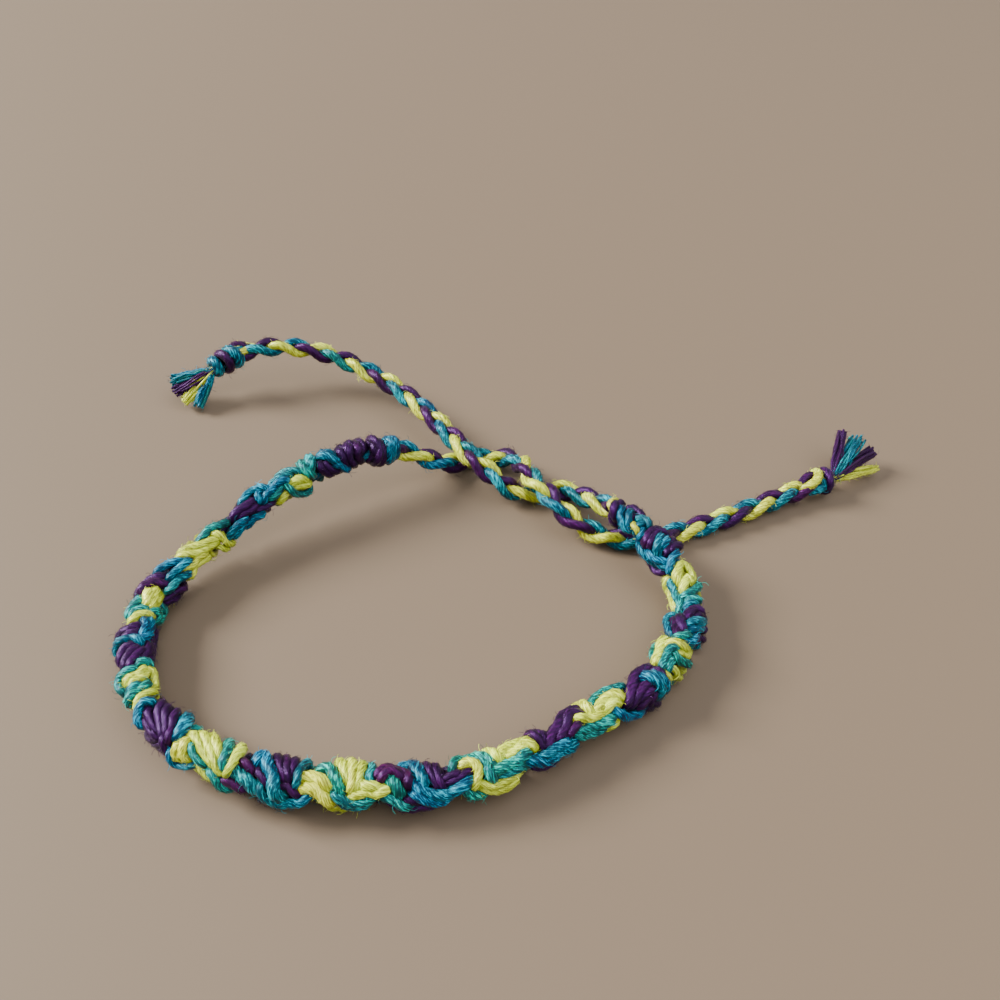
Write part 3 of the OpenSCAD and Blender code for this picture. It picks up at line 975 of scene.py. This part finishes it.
STRANDS["purple_knot_02"] = [
    (TEAL, 1, 0.35, (3.15, 85), (2.95, 60), (2.8, 80), (2.7, 100)),
    (TEAL, 1, 0.35, (2.9, 125), (2.75, 110), (2.55, 105), (2.35, 115)),
    (TEAL, 0.95, 0.25, (2.95, 115), (2.9, 90), (2.75, 85)),
    (PURPLE, 1.3, 0.2, (3.4, 115), (3.25, 105), (3.05, 110)),
    (PURPLE, 1.2, 0.2, (3.35, 135), (3.2, 130), (3.05, 130)),
    (PURPLE, 1.2, 0.15, (3.05, 145), (2.95, 155), (2.75, 160)),
    (TEAL, 1, 0.35, (3.65, 170), (3.5, 150), (3.35, 150)),
    (TEAL, 1, 0.3, (3.55, -165), (3.45, -185), (3.35, -200)),
    (TEAL, 1, 0.3, (3.3, -180), (3.2, -195), (3.05, -190)),
]
STRANDS["yellow_knot_02"] = [
    (TEAL, 1.1, 0.4, (4, 112), (3.85, 107), (3.7, 108), (3.56, 114)),
    (YELLOW, 1.2, 0.35, (4.45, 85), (4.25, 105), (4, 125), (3.75, 145)),
    (YELLOW, 1.2, 0.35, (4.55, 105), (4.3, 130), (4.05, 145), (3.85, 150)),
    (YELLOW, 1.2, 0.3, (4.7, 165), (4.45, 165), (4.15, 180)),
    (YELLOW, 1.1, 0.3, (4.65, 140), (4.4, 145), (4.15, 155)),
    (YELLOW, 1.2, 0.4, (3.82, 128), (3.74, 155), (3.68, 190), (3.65, 210)),
    (YELLOW, 1.05, 0.3, (3.85, 170), (3.75, 215), (3.7, 215)),
]
print("strands charted:", charted())

# %% [markdown]
# ## Strands of the left side
#
# Here the band comes down to the table. The camera looks along it at a slant, so many of these
# strands are seen only for a short way before they dive under the next one.

# %% Left side
STRANDS["purple_knot_03"] = [
    (TEAL, 1, 0.4, (5.15, 120), (4.95, 120), (4.65, 125), (4.55, 135)),
    (TEAL, 1, 0.4, (5.4, 140), (5.15, 140), (4.95, 145), (4.75, 160)),
    (TEAL, 1, 0.35, (5.2, 65), (4.95, 65), (4.75, 85), (4.6, 105)),
    (PURPLE, 1.2, 0.3, (6, 75), (5.7, 65), (5.4, 70), (5.2, 110)),
    (PURPLE, 1.2, 0.3, (6, 90), (5.7, 90), (5.4, 105), (5.25, 130)),
    (PURPLE, 1.2, 0.2, (5.75, 160), (5.25, 165), (5, 185)),
    (PURPLE, 1.2, 0.2, (5.95, -155), (5.55, -175), (5.15, -150)),
]
STRANDS["yellow_knot_03"] = [
    (YELLOW, 1.4, 0.45, (5.9, 92), (6.15, 102), (6.35, 115)),
    (YELLOW, 1.5, 0.55, (5.75, 108), (6.1, 120), (6.38, 122)),
    (YELLOW, 1.3, 0.45, (5.68, 128), (5.95, 136), (6.25, 134)),
    (TEAL, 0.95, 0.35, (6.6, 55), (6.4, 60), (6.3, 80), (6.25, 100)),
    (TEAL, 0.95, 0.35, (6.7, 75), (6.55, 85), (6.45, 100), (6.45, 115)),
    (YELLOW, 1.05, 0.35, (6.85, 75), (6.75, 85), (6.65, 105), (6.55, 130)),
    (TEAL, 1, 0.35, (6.1, 140), (6.1, 165), (6.05, 205), (6.4, 195)),
    (TEAL, 1, 0.3, (6.55, 125), (6.35, 140), (6.35, 160), (6.5, 170)),
    (TEAL, 0.95, 0.3, (6.3, 62), (6.18, 75), (6.1, 90)),
]
STRANDS["purple_knot_04"] = [
    (PURPLE, 1.2, 0.3, (7.05, 25), (7, 50), (7, 80), (6.95, 105)),
    (PURPLE, 1.2, 0.3, (7.2, 60), (7.1, 80), (7.1, 105)),
    (TEAL, 1, 0.45, (6.75, 130), (6.95, 135), (7.15, 125), (7.3, 110)),
    (TEAL, 1, 0.4, (6.8, 110), (6.95, 125), (7.15, 115)),
    (TEAL, 0.95, 0.4, (7.35, 20), (7.25, 35), (7.25, 65), (7.25, 90), (7.35, 110)),
    (PURPLE, 1.05, 0.35, (7.65, 45), (7.5, 55), (7.4, 70), (7.4, 95)),
    (PURPLE, 1.05, 0.35, (7.8, 65), (7.65, 75), (7.5, 85), (7.45, 105)),
    (PURPLE, 1.05, 0.35, (7.85, 80), (7.7, 90), (7.6, 105), (7.5, 120)),
    (PURPLE, 1.2, 0.3, (6.85, 175), (7.3, 165), (7.6, 165)),
    (PURPLE, 1.2, 0.35, (6.8, 140), (7.3, 140), (7.7, 135)),
    (PURPLE, 1.2, 0.35, (7.35, 125), (7.55, 120), (7.75, 120)),
]
STRANDS["yellow_knot_04"] = [
    (TEAL, 0.95, 0.4, (8.25, 40), (8, 30), (7.95, 50), (7.95, 80)),
    (YELLOW, 1.2, 0.35, (8.15, 55), (8.05, 75), (8, 95), (7.9, 120)),
    (YELLOW, 1.2, 0.35, (8.3, 65), (8.2, 85), (8.1, 110), (7.95, 130)),
    (TEAL, 1.1, 0.45, (8.5, 50), (8.4, 70), (8.35, 95), (8.35, 115)),
    (YELLOW, 1.1, 0.45, (8.7, 60), (8.6, 75), (8.55, 100), (8.55, 125)),
    (YELLOW, 1.2, 0.35, (7.95, 130), (8.05, 150), (8.35, 140), (8.5, 120)),
    (TEAL, 0.95, 0.3, (7.85, 95), (7.8, 115), (7.85, 130)),
    (TEAL, 0.95, 0.3, (8.5, 55), (8.35, 60), (8.3, 80)),
]
print("strands charted:", charted())

# %% [markdown]
# ## Strands of the front left
#
# Here the knots are seen best. A thick teal strand starts each fan, and a short hitch of the next
# colour closes it.

# %% Front left
STRANDS["purple_knot_05"] = [
    (TEAL, 1, 0.45, (8.8, 95), (8.75, 75), (8.8, 50), (8.95, 40)),
    (PURPLE, 1.2, 0.35, (8.75, 95), (8.9, 70), (9.05, 55), (9.3, 45)),
    (PURPLE, 1.1, 0.35, (8.9, 110), (9.1, 85), (9.25, 70), (9.4, 50)),
    (PURPLE, 1.1, 0.35, (9.05, 120), (9.2, 95), (9.35, 75), (9.45, 55)),
    (PURPLE, 1.1, 0.3, (9.2, 135), (9.35, 95), (9.45, 75), (9.5, 55)),
    (PURPLE, 1.1, 0.3, (9, 50), (9.2, 45), (9.35, 45)),
    (PURPLE, 1.1, 0.3, (9.4, 55), (9.45, 35), (9.55, 25)),
    (TEAL, 1.5, 0.5, (9.35, 155), (9.5, 120), (9.55, 90), (9.55, 65)),
    (YELLOW, 1.05, 0.4, (9.66, 62), (9.62, 42), (9.68, 22)),
    (YELLOW, 1.05, 0.45, (9.72, 68), (9.72, 48), (9.82, 32)),
    (TEAL, 0.75, 0.3, (9.6, 20), (9.65, -5), (9.8, 0), (9.95, 20)),
]
STRANDS["yellow_knot_05"] = [
    (YELLOW, 1.2, 0.3, (9.75, 90), (9.9, 80), (10.1, 60), (10.25, 40)),
    (YELLOW, 1.2, 0.35, (9.85, 115), (10.05, 90), (10.2, 70), (10.35, 45)),
    (YELLOW, 1.2, 0.35, (9.95, 135), (10.15, 95), (10.25, 70), (10.35, 45)),
    (TEAL, 0.8, 0.45, (9.8, 70), (9.9, 55), (10.05, 40)),
    (TEAL, 1.3, 0.5, (10.2, 150), (10.3, 105), (10.35, 80), (10.4, 60)),
    (YELLOW, 1.2, 0.45, (10.4, 150), (10.5, 100), (10.5, 70), (10.45, 50)),
    (YELLOW, 1.1, 0.35, (10.05, 35), (10.15, 20), (10.3, 15)),
    (TEAL, 0.95, 0.3, (10.25, 30), (10.35, 15), (10.5, 5)),
    (PURPLE, 1.1, 0.25, (10.45, 30), (10.6, 20), (10.75, 25)),
    (TEAL, 1.4, 0.5, (10.45, 60), (10.6, 60), (10.7, 55), (10.8, 35)),
    (PURPLE, 1.1, 0.3, (10.5, 75), (10.6, 85), (10.7, 80)),
]
STRANDS["purple_knot_06"] = [
    (TEAL, 1.4, 0.55, (10.75, 95), (10.75, 120), (10.8, 130), (10.95, 85), (11.05, 55), (11.15, 30)),
    (PURPLE, 1.2, 0.35, (10.8, 75), (10.9, 60), (11, 45)),
    (PURPLE, 1.1, 0.3, (10.95, 145), (11.1, 100), (11.2, 70)),
    (PURPLE, 1.1, 0.3, (11.1, 145), (11.2, 105), (11.25, 75)),
    (PURPLE, 1.1, 0.3, (11.25, 145), (11.25, 110), (11.25, 75)),
    (PURPLE, 1.1, 0.3, (11.15, 40), (11.2, 55), (11.3, 55), (11.4, 40)),
    (TEAL, 1, 0.4, (10.9, 30), (11, 15), (11.2, 5), (11.4, 15), (11.5, 30)),
    (TEAL, 0.85, 0.35, (11.45, 145), (11.4, 110), (11.4, 85), (11.4, 65)),
    (YELLOW, 1.4, 0.5, (11.4, 70), (11.55, 80), (11.7, 75), (11.8, 55)),
    (YELLOW, 1.4, 0.5, (11.45, 50), (11.6, 50), (11.75, 35), (11.85, 25)),
]
STRANDS["yellow_knot_06"] = [
    (TEAL, 1.2, 0.45, (11.7, 110), (11.8, 110), (11.85, 80), (11.9, 55), (11.95, 40)),
    (YELLOW, 1.2, 0.3, (11.9, 145), (12, 95), (12.1, 55)),
    (YELLOW, 1.2, 0.35, (12.05, 145), (12.1, 95), (12.1, 55)),
    (YELLOW, 1.2, 0.3, (12.2, 145), (12.15, 95), (12.15, 55)),
    (TEAL, 0.95, 0.3, (12.3, 145), (12.35, 100), (12.35, 80)),
    (YELLOW, 1.5, 0.55, (12.15, 55), (12.25, 70), (12.35, 70), (12.5, 55)),
    (YELLOW, 1.5, 0.6, (12.1, 35), (12.25, 45), (12.4, 40), (12.5, 55)),
    (TEAL, 1, 0.4, (11.9, 35), (12, 30), (12.15, 20), (12.3, 30)),
    (TEAL, 0.95, 0.35, (11.95, 15), (12.1, 5), (12.25, 10)),
    (PURPLE, 1.1, 0.45, (12.4, 85), (12.5, 110), (12.6, 110), (12.7, 85), (12.75, 65)),
    (PURPLE, 1, 0.4, (12.45, 85), (12.55, 95), (12.65, 75)),
    (TEAL, 1.5, 0.5, (12.45, 85), (12.55, 75), (12.6, 50), (12.65, 35)),
    (TEAL, 1, 0.35, (12.5, 35), (12.6, 20), (12.75, 15)),
]
print("strands charted:", charted())

# %% [markdown]
# ## Strands of the front right
#
# Towards the right the strands run more along the band, and the fans turn into long slanted lobes.

# %% Front right
STRANDS["purple_knot_07"] = [
    (TEAL, 1.4, 0.55, (12.65, 125), (12.7, 145), (12.85, 145), (12.9, 95), (12.9, 65)),
    (PURPLE, 1.1, 0.3, (12.95, 135), (13, 90), (13.1, 60)),
    (PURPLE, 1.1, 0.3, (13.1, 125), (13.1, 85), (13.15, 55)),
    (PURPLE, 1.1, 0.35, (13.4, 85), (13.3, 80), (13.15, 60)),
    (PURPLE, 1.1, 0.35, (13.6, 75), (13.4, 65), (13.2, 55)),
    (TEAL, 1.3, 0.5, (12.8, 55), (12.9, 35), (13.1, 25), (13.3, 35), (13.5, 50)),
    (TEAL, 1, 0.4, (12.8, 35), (12.95, 15), (13.15, 10)),
    (PURPLE, 1.1, 0.3, (12.5, 30), (12.65, 10), (12.8, 10), (13, 0)),
    (PURPLE, 1.05, 0.35, (12.7, 25), (12.75, 35), (12.85, 20)),
]
STRANDS["yellow_knot_07"] = [
    (TEAL, 1, 0.4, (13.4, 95), (13.55, 125), (13.75, 135), (13.9, 105), (13.95, 75)),
    (TEAL, 1.1, 0.4, (13.6, 105), (13.8, 100), (13.85, 75), (13.85, 50)),
    (YELLOW, 1.2, 0.55, (13.45, 100), (13.6, 105), (13.65, 80), (13.65, 55), (13.6, 40)),
    (YELLOW, 1.05, 0.3, (13.9, 145), (13.95, 115), (14, 85)),
    (YELLOW, 1.4, 0.55, (14.05, 85), (14.2, 100), (14.4, 110), (14.55, 95)),
    (YELLOW, 1.3, 0.5, (14.1, 75), (14.25, 75), (14.4, 75), (14.5, 80)),
    (TEAL, 1.3, 0.5, (13.85, 50), (14, 65), (14.2, 70), (14.4, 70)),
    (TEAL, 1, 0.4, (13.95, 50), (14.15, 50), (14.3, 50)),
    (YELLOW, 1.4, 0.5, (13.6, 40), (13.75, 35), (13.95, 35), (14.2, 30)),
    (YELLOW, 1.3, 0.45, (13.7, 10), (13.85, 0), (14.05, 0), (14.15, 15)),
    (TEAL, 1.1, 0.4, (13.4, 45), (13.5, 20), (13.7, 0)),
]
STRANDS["purple_knot_08"] = [
    (PURPLE, 1.1, 0.4, (14.6, 145), (14.7, 130), (14.7, 95), (14.7, 65)),
    (PURPLE, 1.1, 0.35, (14.55, 100), (14.6, 80), (14.65, 55)),
    (PURPLE, 1.5, 0.5, (14.65, 55), (14.85, 70), (15.05, 95), (15.35, 120), (15.55, 115)),
    (PURPLE, 1.4, 0.5, (14.8, 55), (15.05, 65), (15.25, 80), (15.45, 90)),
    (PURPLE, 1.3, 0.4, (15.05, 55), (15.25, 65), (15.4, 85)),
    (TEAL, 1.4, 0.5, (14.4, 60), (14.55, 40), (14.75, 35), (14.95, 40), (15.15, 45)),
    (TEAL, 1.1, 0.45, (14.65, 50), (14.8, 50), (15, 50)),
    (PURPLE, 1.05, 0.2, (14.45, 30), (14.65, 0), (14.8, 5)),
]
STRANDS["yellow_knot_08"] = [
    (YELLOW, 1.1, 0.35, (15.6, 155), (15.75, 145), (15.7, 95), (15.7, 70)),
    (YELLOW, 1.5, 0.55, (15.75, 65), (15.95, 80), (16.2, 95), (16.3, 80)),
    (YELLOW, 1.4, 0.5, (15.85, 55), (16.1, 60), (16.25, 70)),
    (YELLOW, 1.2, 0.5, (15.35, 80), (15.55, 65), (15.8, 60)),
    (TEAL, 1.4, 0.5, (15.25, 65), (15.45, 50), (15.75, 40), (16, 40)),
    (TEAL, 1, 0.4, (15.25, 45), (15.5, 30), (15.8, 25)),
    (TEAL, 1.1, 0.4, (15.75, 85), (15.95, 105), (16.2, 120), (16.45, 125)),
    (YELLOW, 1.05, 0.25, (15.6, 20), (15.9, 15), (16.15, 20)),
]
print("strands charted:", charted())

# %% [markdown]
# ## Strands of the right side and the back right
#
# The band turns away here and climbs off the table again. It ends in the finish knot, where the
# left tie comes out between its strands.

# %% Right side
STRANDS["purple_knot_09"] = [
    (PURPLE, 1.4, 0.4, (16.4, 55), (16.5, 85), (16.8, 120), (17.2, 120)),
    (PURPLE, 1.3, 0.4, (16.5, 40), (16.65, 65), (16.85, 90), (17.15, 95)),
    (PURPLE, 1.3, 0.4, (16.65, 55), (16.85, 70), (16.95, 75)),
    (PURPLE, 1.3, 0.45, (16.65, 10), (16.7, 35), (16.85, 50)),
    (PURPLE, 1.2, 0.4, (16.8, 0), (16.85, 25), (16.9, 50)),
    (PURPLE, 1.2, 0.3, (17.15, 100), (17.2, 70), (17.25, 35)),
    (TEAL, 1.4, 0.55, (16.95, 95), (17.05, 70), (17.05, 40), (17, 10)),
    (TEAL, 0.95, 0.4, (17.1, 95), (17.1, 60), (17.1, 30)),
    (TEAL, 1.1, 0.35, (16.1, 45), (16.25, 20), (16.45, -5), (16.6, 0)),
]
STRANDS["yellow_knot_09"] = [
    (YELLOW, 1.3, 0.45, (18.05, 125), (17.9, 130), (17.65, 120), (17.4, 115)),
    (YELLOW, 1.3, 0.45, (17.95, 105), (18.05, 80), (18.15, 55), (18.05, 30)),
    (YELLOW, 1.2, 0.4, (17.9, 90), (17.95, 65), (17.95, 40)),
    (TEAL, 1.1, 0.4, (17.9, 95), (17.65, 100), (17.4, 100)),
    (TEAL, 1.1, 0.45, (17.8, 90), (17.7, 75), (17.8, 45), (17.95, 20)),
    (TEAL, 1, 0.35, (17.7, 90), (17.5, 85), (17.4, 80)),
    (TEAL, 0.95, 0.3, (18.15, 95), (18.25, 75), (18.3, 55)),
    (YELLOW, 1.3, 0.3, (17.5, 75), (17.55, 55), (17.55, 30)),
    (YELLOW, 1.05, 0.35, (17.3, 75), (17.3, 65), (17.3, 50)),
    (TEAL, 0.95, 0.3, (18, 165), (17.9, 170), (17.65, 145)),
]
STRANDS["purple_knot_10"] = [
    (PURPLE, 1.3, 0.45, (18.7, 115), (19, 110), (19.15, 90), (19.05, 65)),
    (PURPLE, 1.3, 0.45, (18.65, 95), (18.85, 85), (18.95, 65)),
    (PURPLE, 1.4, 0.45, (18.7, 150), (18.35, 115), (18.15, 95)),
    (PURPLE, 1.3, 0.45, (18.65, 120), (18.45, 100), (18.2, 90)),
    (TEAL, 1.2, 0.45, (18.55, 100), (18.75, 85), (18.85, 55)),
    (TEAL, 1.1, 0.4, (18.45, 90), (18.6, 70), (18.75, 50)),
    (PURPLE, 1.3, 0.4, (18.45, 65), (18.6, 40), (18.5, 30)),
    (PURPLE, 1.2, 0.3, (18.35, 65), (18.4, 40)),
    (TEAL, 1.1, 0.4, (19.15, -170), (18.55, -190), (18.1, -245)),
    (TEAL, 0.95, 0.3, (18.2, 90), (18.25, 70), (18.4, 60)),
    (TEAL, 0.95, 0.3, (18.9, 160), (18.55, 150), (18.2, 120)),
]
STRANDS["yellow_knot_10"] = [
    (YELLOW, 1.5, 0.5, (19.9, 140), (20.15, 120), (20.3, 90), (20.1, 65), (19.8, 60)),
    (YELLOW, 1.4, 0.55, (19.55, 125), (19.75, 110), (19.9, 85), (19.75, 75)),
    (YELLOW, 1.3, 0.4, (20.1, 175), (19.95, 205), (19.65, 195), (19.2, 155)),
    (TEAL, 1.1, 0.4, (19.85, 145), (19.6, 150), (19.3, 135), (18.95, 135)),
    (TEAL, 1.1, 0.45, (19.7, 50), (19.5, 90), (19.45, 115), (19.4, 140)),
    (TEAL, 1, 0.4, (19.25, 120), (19.3, 95), (19.3, 75)),
    (TEAL, 1, 0.4, (19, 125), (19.2, 115), (19.2, 95)),
]
STRANDS["purple_knot_11"] = [
    (PURPLE, 1.3, 0.5, (21.08, 155), (21.2, 120), (21.22, 80), (21.16, 50)),
    (PURPLE, 1.3, 0.45, (21, 150), (21.04, 115), (21.06, 80), (21, 60)),
    (TEAL, 1.2, 0.5, (20.75, 145), (20.9, 115), (21, 80)),
    (TEAL, 1.1, 0.4, (20.8, 120), (20.85, 100), (20.9, 75)),
    (PURPLE, 1.3, 0.45, (20.7, 120), (20.8, 90), (20.9, 40), (20.75, 40)),
    (PURPLE, 1.2, 0.4, (20.65, 95), (20.7, 65), (20.7, 40)),
    (TEAL, 1, 0.35, (21.35, 140), (21.2, 175), (20.9, 195), (20.55, 195)),
    (TEAL, 1.1, 0.5, (20.9, 165), (20.7, 160), (20.5, 145)),
    (TEAL, 1, 0.45, (20.65, 175), (20.5, 160), (20.35, 145)),
    (TEAL, 1.1, 0.35, (20.6, 90), (20.5, 125), (20.25, 150)),
    (PURPLE, 1.05, 0.2, (21, -160), (20.7, -145), (20.35, -180)),
]
STRANDS["finish_knot"] = [
    (YELLOW, 1, 0.1, (22.25, 115), (22.3, 90), (22.3, 60)),
    (PURPLE, 1.1, 0.3, (21.9, -150), (22.1, -200), (22.2, -280)),
    (PURPLE, 1.1, 0.25, (22, 175), (22.15, 135), (22.25, 100)),
    (TEAL, 1.1, 0.35, (21.6, 165), (21.85, 140), (22.15, 95)),
    (TEAL, 1, 0.4, (21.5, 150), (21.65, 125), (21.8, 85)),
    (PURPLE, 1.1, 0.4, (21.9, 75), (21.85, 45), (21.65, 55)),
    (TEAL, 1.1, 0.35, (21.6, 100), (21.55, 75), (21.4, 85)),
    (YELLOW, 0.75, 0.2, (21.5, 132), (21.42, 134), (21.36, 140)),
    (TEAL, 1, 0.35, (21.4, 150), (21.45, 120), (21.4, 95)),
]
print("strands charted:", charted())

# %% [markdown]
# ## Laying out the knots
#
# Every knot gets its fan of closed turns, its charted strands and, on the side that the photograph
# doesn't show, a teal turn before the wraps and a hitch of the next knot's colour after them. So
# the bracelet is whole from all sides. Nothing is spun yet: this only collects the lines.

# %% Laying out the knots
FAR_ARC = np.linspace(130, 215, 9)  # degrees from the angle that looks at the camera
FAR_GAP = 0.19  # from the last wrap to the turns beside the fan, in places
SHOWN_FANS = {"purple_knot_01"}  # the fans that lie bare, so their wraps sit higher
layout = []


def lay(node, part, colour, line, widths, closed, own=True):
    """One strand of the band, with the name of the piece it goes into."""
    layout.append({
        "piece": f"{node}_{part}", "node": node if own else None, "colour": colour, "line": line,
        "widths": np.broadcast_to(np.asarray(widths, float), len(line)).copy(), "closed": closed,
    })


def far_arc(place, slant, width):
    """An open turn over the side of the band that turns away from the photograph."""
    places = place + np.linspace(-slant, slant, len(FAR_ARC))
    return turn_of_floss(np.c_[places, np.interp(place, PLACES, FACE) + FAR_ARC], width, 0.05)


for number, node in enumerate(KNOTS, 1):
    colour, other = (YELLOW, PURPLE) if node.startswith("yellow") else (PURPLE, YELLOW)
    parts = {colour: "wraps", TEAL: "teal", other: "hitch"}
    count, top, gather = FANS[node]
    for row in fan_of_wraps(number, count, top, gather, node in SHOWN_FANS):
        lay(node, "wraps", colour, *row)
    half = (count - 1) / 2 * WRAP_PITCH
    lay(node, "teal", TEAL, *far_arc(number - half - FAR_GAP, 0.05, 0.95), own=False)
    lay(node, "hitch", other, *far_arc(number + half + FAR_GAP, -0.06, 0.9), own=False)
    for hue, width, rise, *points in STRANDS[node]:
        tight = gather[0] if hue == colour else None
        lay(node, parts[hue], hue, *turn_of_floss(points, width, rise, tight), own=hue == colour)
print("strands laid out:", len(layout))

# %% [markdown]
# ## The ends of the band
#
# The band closes at each end with a few tight turns, where the tie comes out of it. Each row is a
# colour, a place, and how deep the turn sits, so the knot tapers towards the tie.

# %% The ends of the band
END_TURN_WIDTH = 1.1
END_TURNS = {
    "start_knot": [(TEAL, -0.5, 0.5), (TEAL, -0.3, 0.45), (PURPLE, 0.0, 0.4), (PURPLE, 0.22, 0.35)],
    "finish_knot": [
        (YELLOW, 22.45, 1.3), (PURPLE, 22.25, 0.95), (TEAL, 22.05, 0.7), (TEAL, 21.85, 0.6),
        (PURPLE, 21.65, 0.6),
    ],
}
for node, turns in END_TURNS.items():
    for hue, place, sunk in turns:
        keys = [(90, place, sunk, 1), (270, place + 0.03, sunk, 1)]
        lay(node, short(hue), hue, *round_the_band(keys, END_TURN_WIDTH))
    for hue, width, rise, *points in STRANDS[node]:
        lay(node, short(hue), hue, *turn_of_floss(points, width, rise))
print("strands with the ends:", len(layout))

# %% [markdown]
# ## Settling
#
# Real floss can't pass through itself. Here every strand is a soft tube that pushes its
# neighbours away until they lie beside or over one another, while each one is drawn gently back to
# where it was laid. A few rounds are enough. Where two strands cross, the one that was laid higher
# ends on top, and the grooves between strands come by themselves. The material darkens these
# grooves further with painted shade.

# %% Settling
SQUEEZE = 0.84  # how close two strands may come, as a share of their widths
SQUEEZE_ALIKE = 0.68  # the same for two strands of one piece
ROUNDS = 24
HELD = 9  # points at each end of an open strand that move less and less
BLOCK = 0.3  # strands are compared within blocks of the band this long, in places
PUSH, PULL_BACK, EVEN_OUT = 0.9, 0.07, 0.2  # shares of each move that a round makes


def neighbours(points):
    """Blocks of points along the band, each with the points near enough to touch them."""
    marks = np.arange(-1, LAST + 1.6, 0.1)
    where = marks[np.argmin(((points[:, None] - at(marks)[None]) ** 2).sum(2), 1)]
    blocks = []
    for low in np.arange(-1, LAST + 2, BLOCK):
        mine = np.flatnonzero((where >= low) & (where < low + BLOCK))
        if len(mine):
            blocks.append((mine, np.flatnonzero((where > low - BLOCK) & (where < low + 2 * BLOCK))))
    return blocks


def settle(strands, rounds):
    """Move the lines of all strands apart, in place."""
    counts = [len(strand["line"]) for strand in strands]
    starts = np.r_[0, np.cumsum(counts)]
    points = np.concatenate([strand["line"] for strand in strands])
    widths = np.concatenate([strand["widths"] for strand in strands])
    own = np.repeat(range(len(strands)), counts)
    pieces = sorted({strand["piece"] for strand in strands})
    alike = np.repeat([pieces.index(strand["piece"]) for strand in strands], counts)
    before, after = np.arange(len(points)) - 1, np.arange(len(points)) + 1
    moves = np.ones(len(points))
    for strand, first, last in zip(strands, starts[:-1], starts[1:] - 1):
        before[first], after[last] = (last, first) if strand["closed"] else (first, last)
        if not strand["closed"]:
            moves[first:first + HELD] = np.linspace(0, 1, HELD)
            end = slice(last + 1 - HELD, last + 1)
            moves[end] = np.minimum(moves[end], np.linspace(1, 0, HELD))
    blocks = neighbours(points)
    laid = points.copy()
    for _ in range(rounds):
        push = np.zeros_like(points)
        for mine, near in blocks:
            apart = points[mine][:, None] - points[near][None]
            distance = np.maximum(np.linalg.norm(apart, axis=2), 1e-6)
            squeeze = np.where(alike[mine][:, None] == alike[near][None], SQUEEZE_ALIKE, SQUEEZE)
            overlap = squeeze * (widths[mine][:, None] + widths[near][None]) / 2 - distance
            overlap[(own[mine][:, None] == own[near][None]) | (overlap < 0)] = 0
            overlap *= moves[near][None]
            total = (overlap[..., None] * apart / distance[..., None]).sum(1)
            push[mine] = total / np.maximum((overlap > 0).sum(1), 1)[:, None]
        points += moves[:, None] * (PUSH * push + PULL_BACK * (laid - points))
        points += EVEN_OUT * moves[:, None] * (points[before] + points[after] - 2 * points)
        above(points, widths / 2)
    for strand, first, last in zip(strands, starts[:-1], starts[1:]):
        strand["line"] = points[first:last]
    return float(np.linalg.norm(points - laid, axis=1).mean())


print("mean move in mm:", round(settle(layout, ROUNDS), 2))

# %% [markdown]
# ## Making the knots
#
# Every knot becomes one piece for each colour in it. The piece of the knot's own colour stands for
# the knot's solid. The yellow took its dye least evenly, so it drifts more.

# %% Making the knots
for name in dict.fromkeys(strand["piece"] for strand in layout):
    rows = [strand for strand in layout if strand["piece"] == name]
    nodes = [strand["node"] for strand in rows if strand["node"]]
    floss_piece(
        name, rows[0]["colour"], [(r["line"], r["widths"], r["closed"]) for r in rows],
        replaces=nodes[:1], dye_drift=0.6 if name.startswith("yellow") else 0.05,
    )
print("pieces in all:", len(made), "faces:", sum(len(piece.data.polygons) for piece in made))

# %% [markdown]
# ## Table and light
#
# The bracelet lies on a plain pale table. A large soft light stands low on the left, as a window
# would, and a weak one above and the pale surroundings fill the shadows.

# %% Table
HALF_TABLE = 1.5
corners = [(-HALF_TABLE, -HALF_TABLE, 0), (HALF_TABLE, -HALF_TABLE, 0)]
corners += [(HALF_TABLE, HALF_TABLE, 0), (-HALF_TABLE, HALF_TABLE, 0)]
table_mesh = bpy.data.meshes.new("table")
table_mesh.from_pydata(corners, [], [(0, 1, 2, 3)])
table = add_object("table", table_mesh)
pale = bpy.data.materials.new("pale_table")
pale.use_nodes = True
pale_shader = pale.node_tree.nodes["Principled BSDF"]
pale_shader.inputs["Base Color"].default_value = (0.14, 0.099, 0.063, 1)
pale_shader.inputs["Roughness"].default_value = 0.7
table.data.materials.append(pale)
print("table in metres:", 2 * HALF_TABLE)

# %% Light


def soft_light(name, place, size, power, tint):
    """A square light that faces the bracelet."""
    light = bpy.data.lights.new(name, "AREA")
    light.size = size
    light.energy = power
    light.color = tint
    facing = (-Vector(place)).to_track_quat("-Z", "Y").to_matrix().to_4x4()
    add_object(name, light).matrix_world = Matrix.Translation(Vector(place)) @ facing


soft_light("window", (-1.6, 0.3, 1.0), 0.75, 124.0, (1.0, 0.98, 0.94))
soft_light("ceiling", (0.4, -0.15, 0.9), 1.4, 14.0, (0.98, 0.98, 1.0))
surroundings = bpy.data.worlds.new("surroundings")
surroundings.use_nodes = True
background = surroundings.node_tree.nodes["Background"]
background.inputs["Color"].default_value = (0.9, 0.92, 0.95, 1)
background.inputs["Strength"].default_value = 0.56
bpy.context.scene.world = surroundings

# %% [markdown]
# ## Clearing up
#
# The helper line of the route is taken out of the scene.

# %% Clearing up
bpy.data.objects.remove(route)
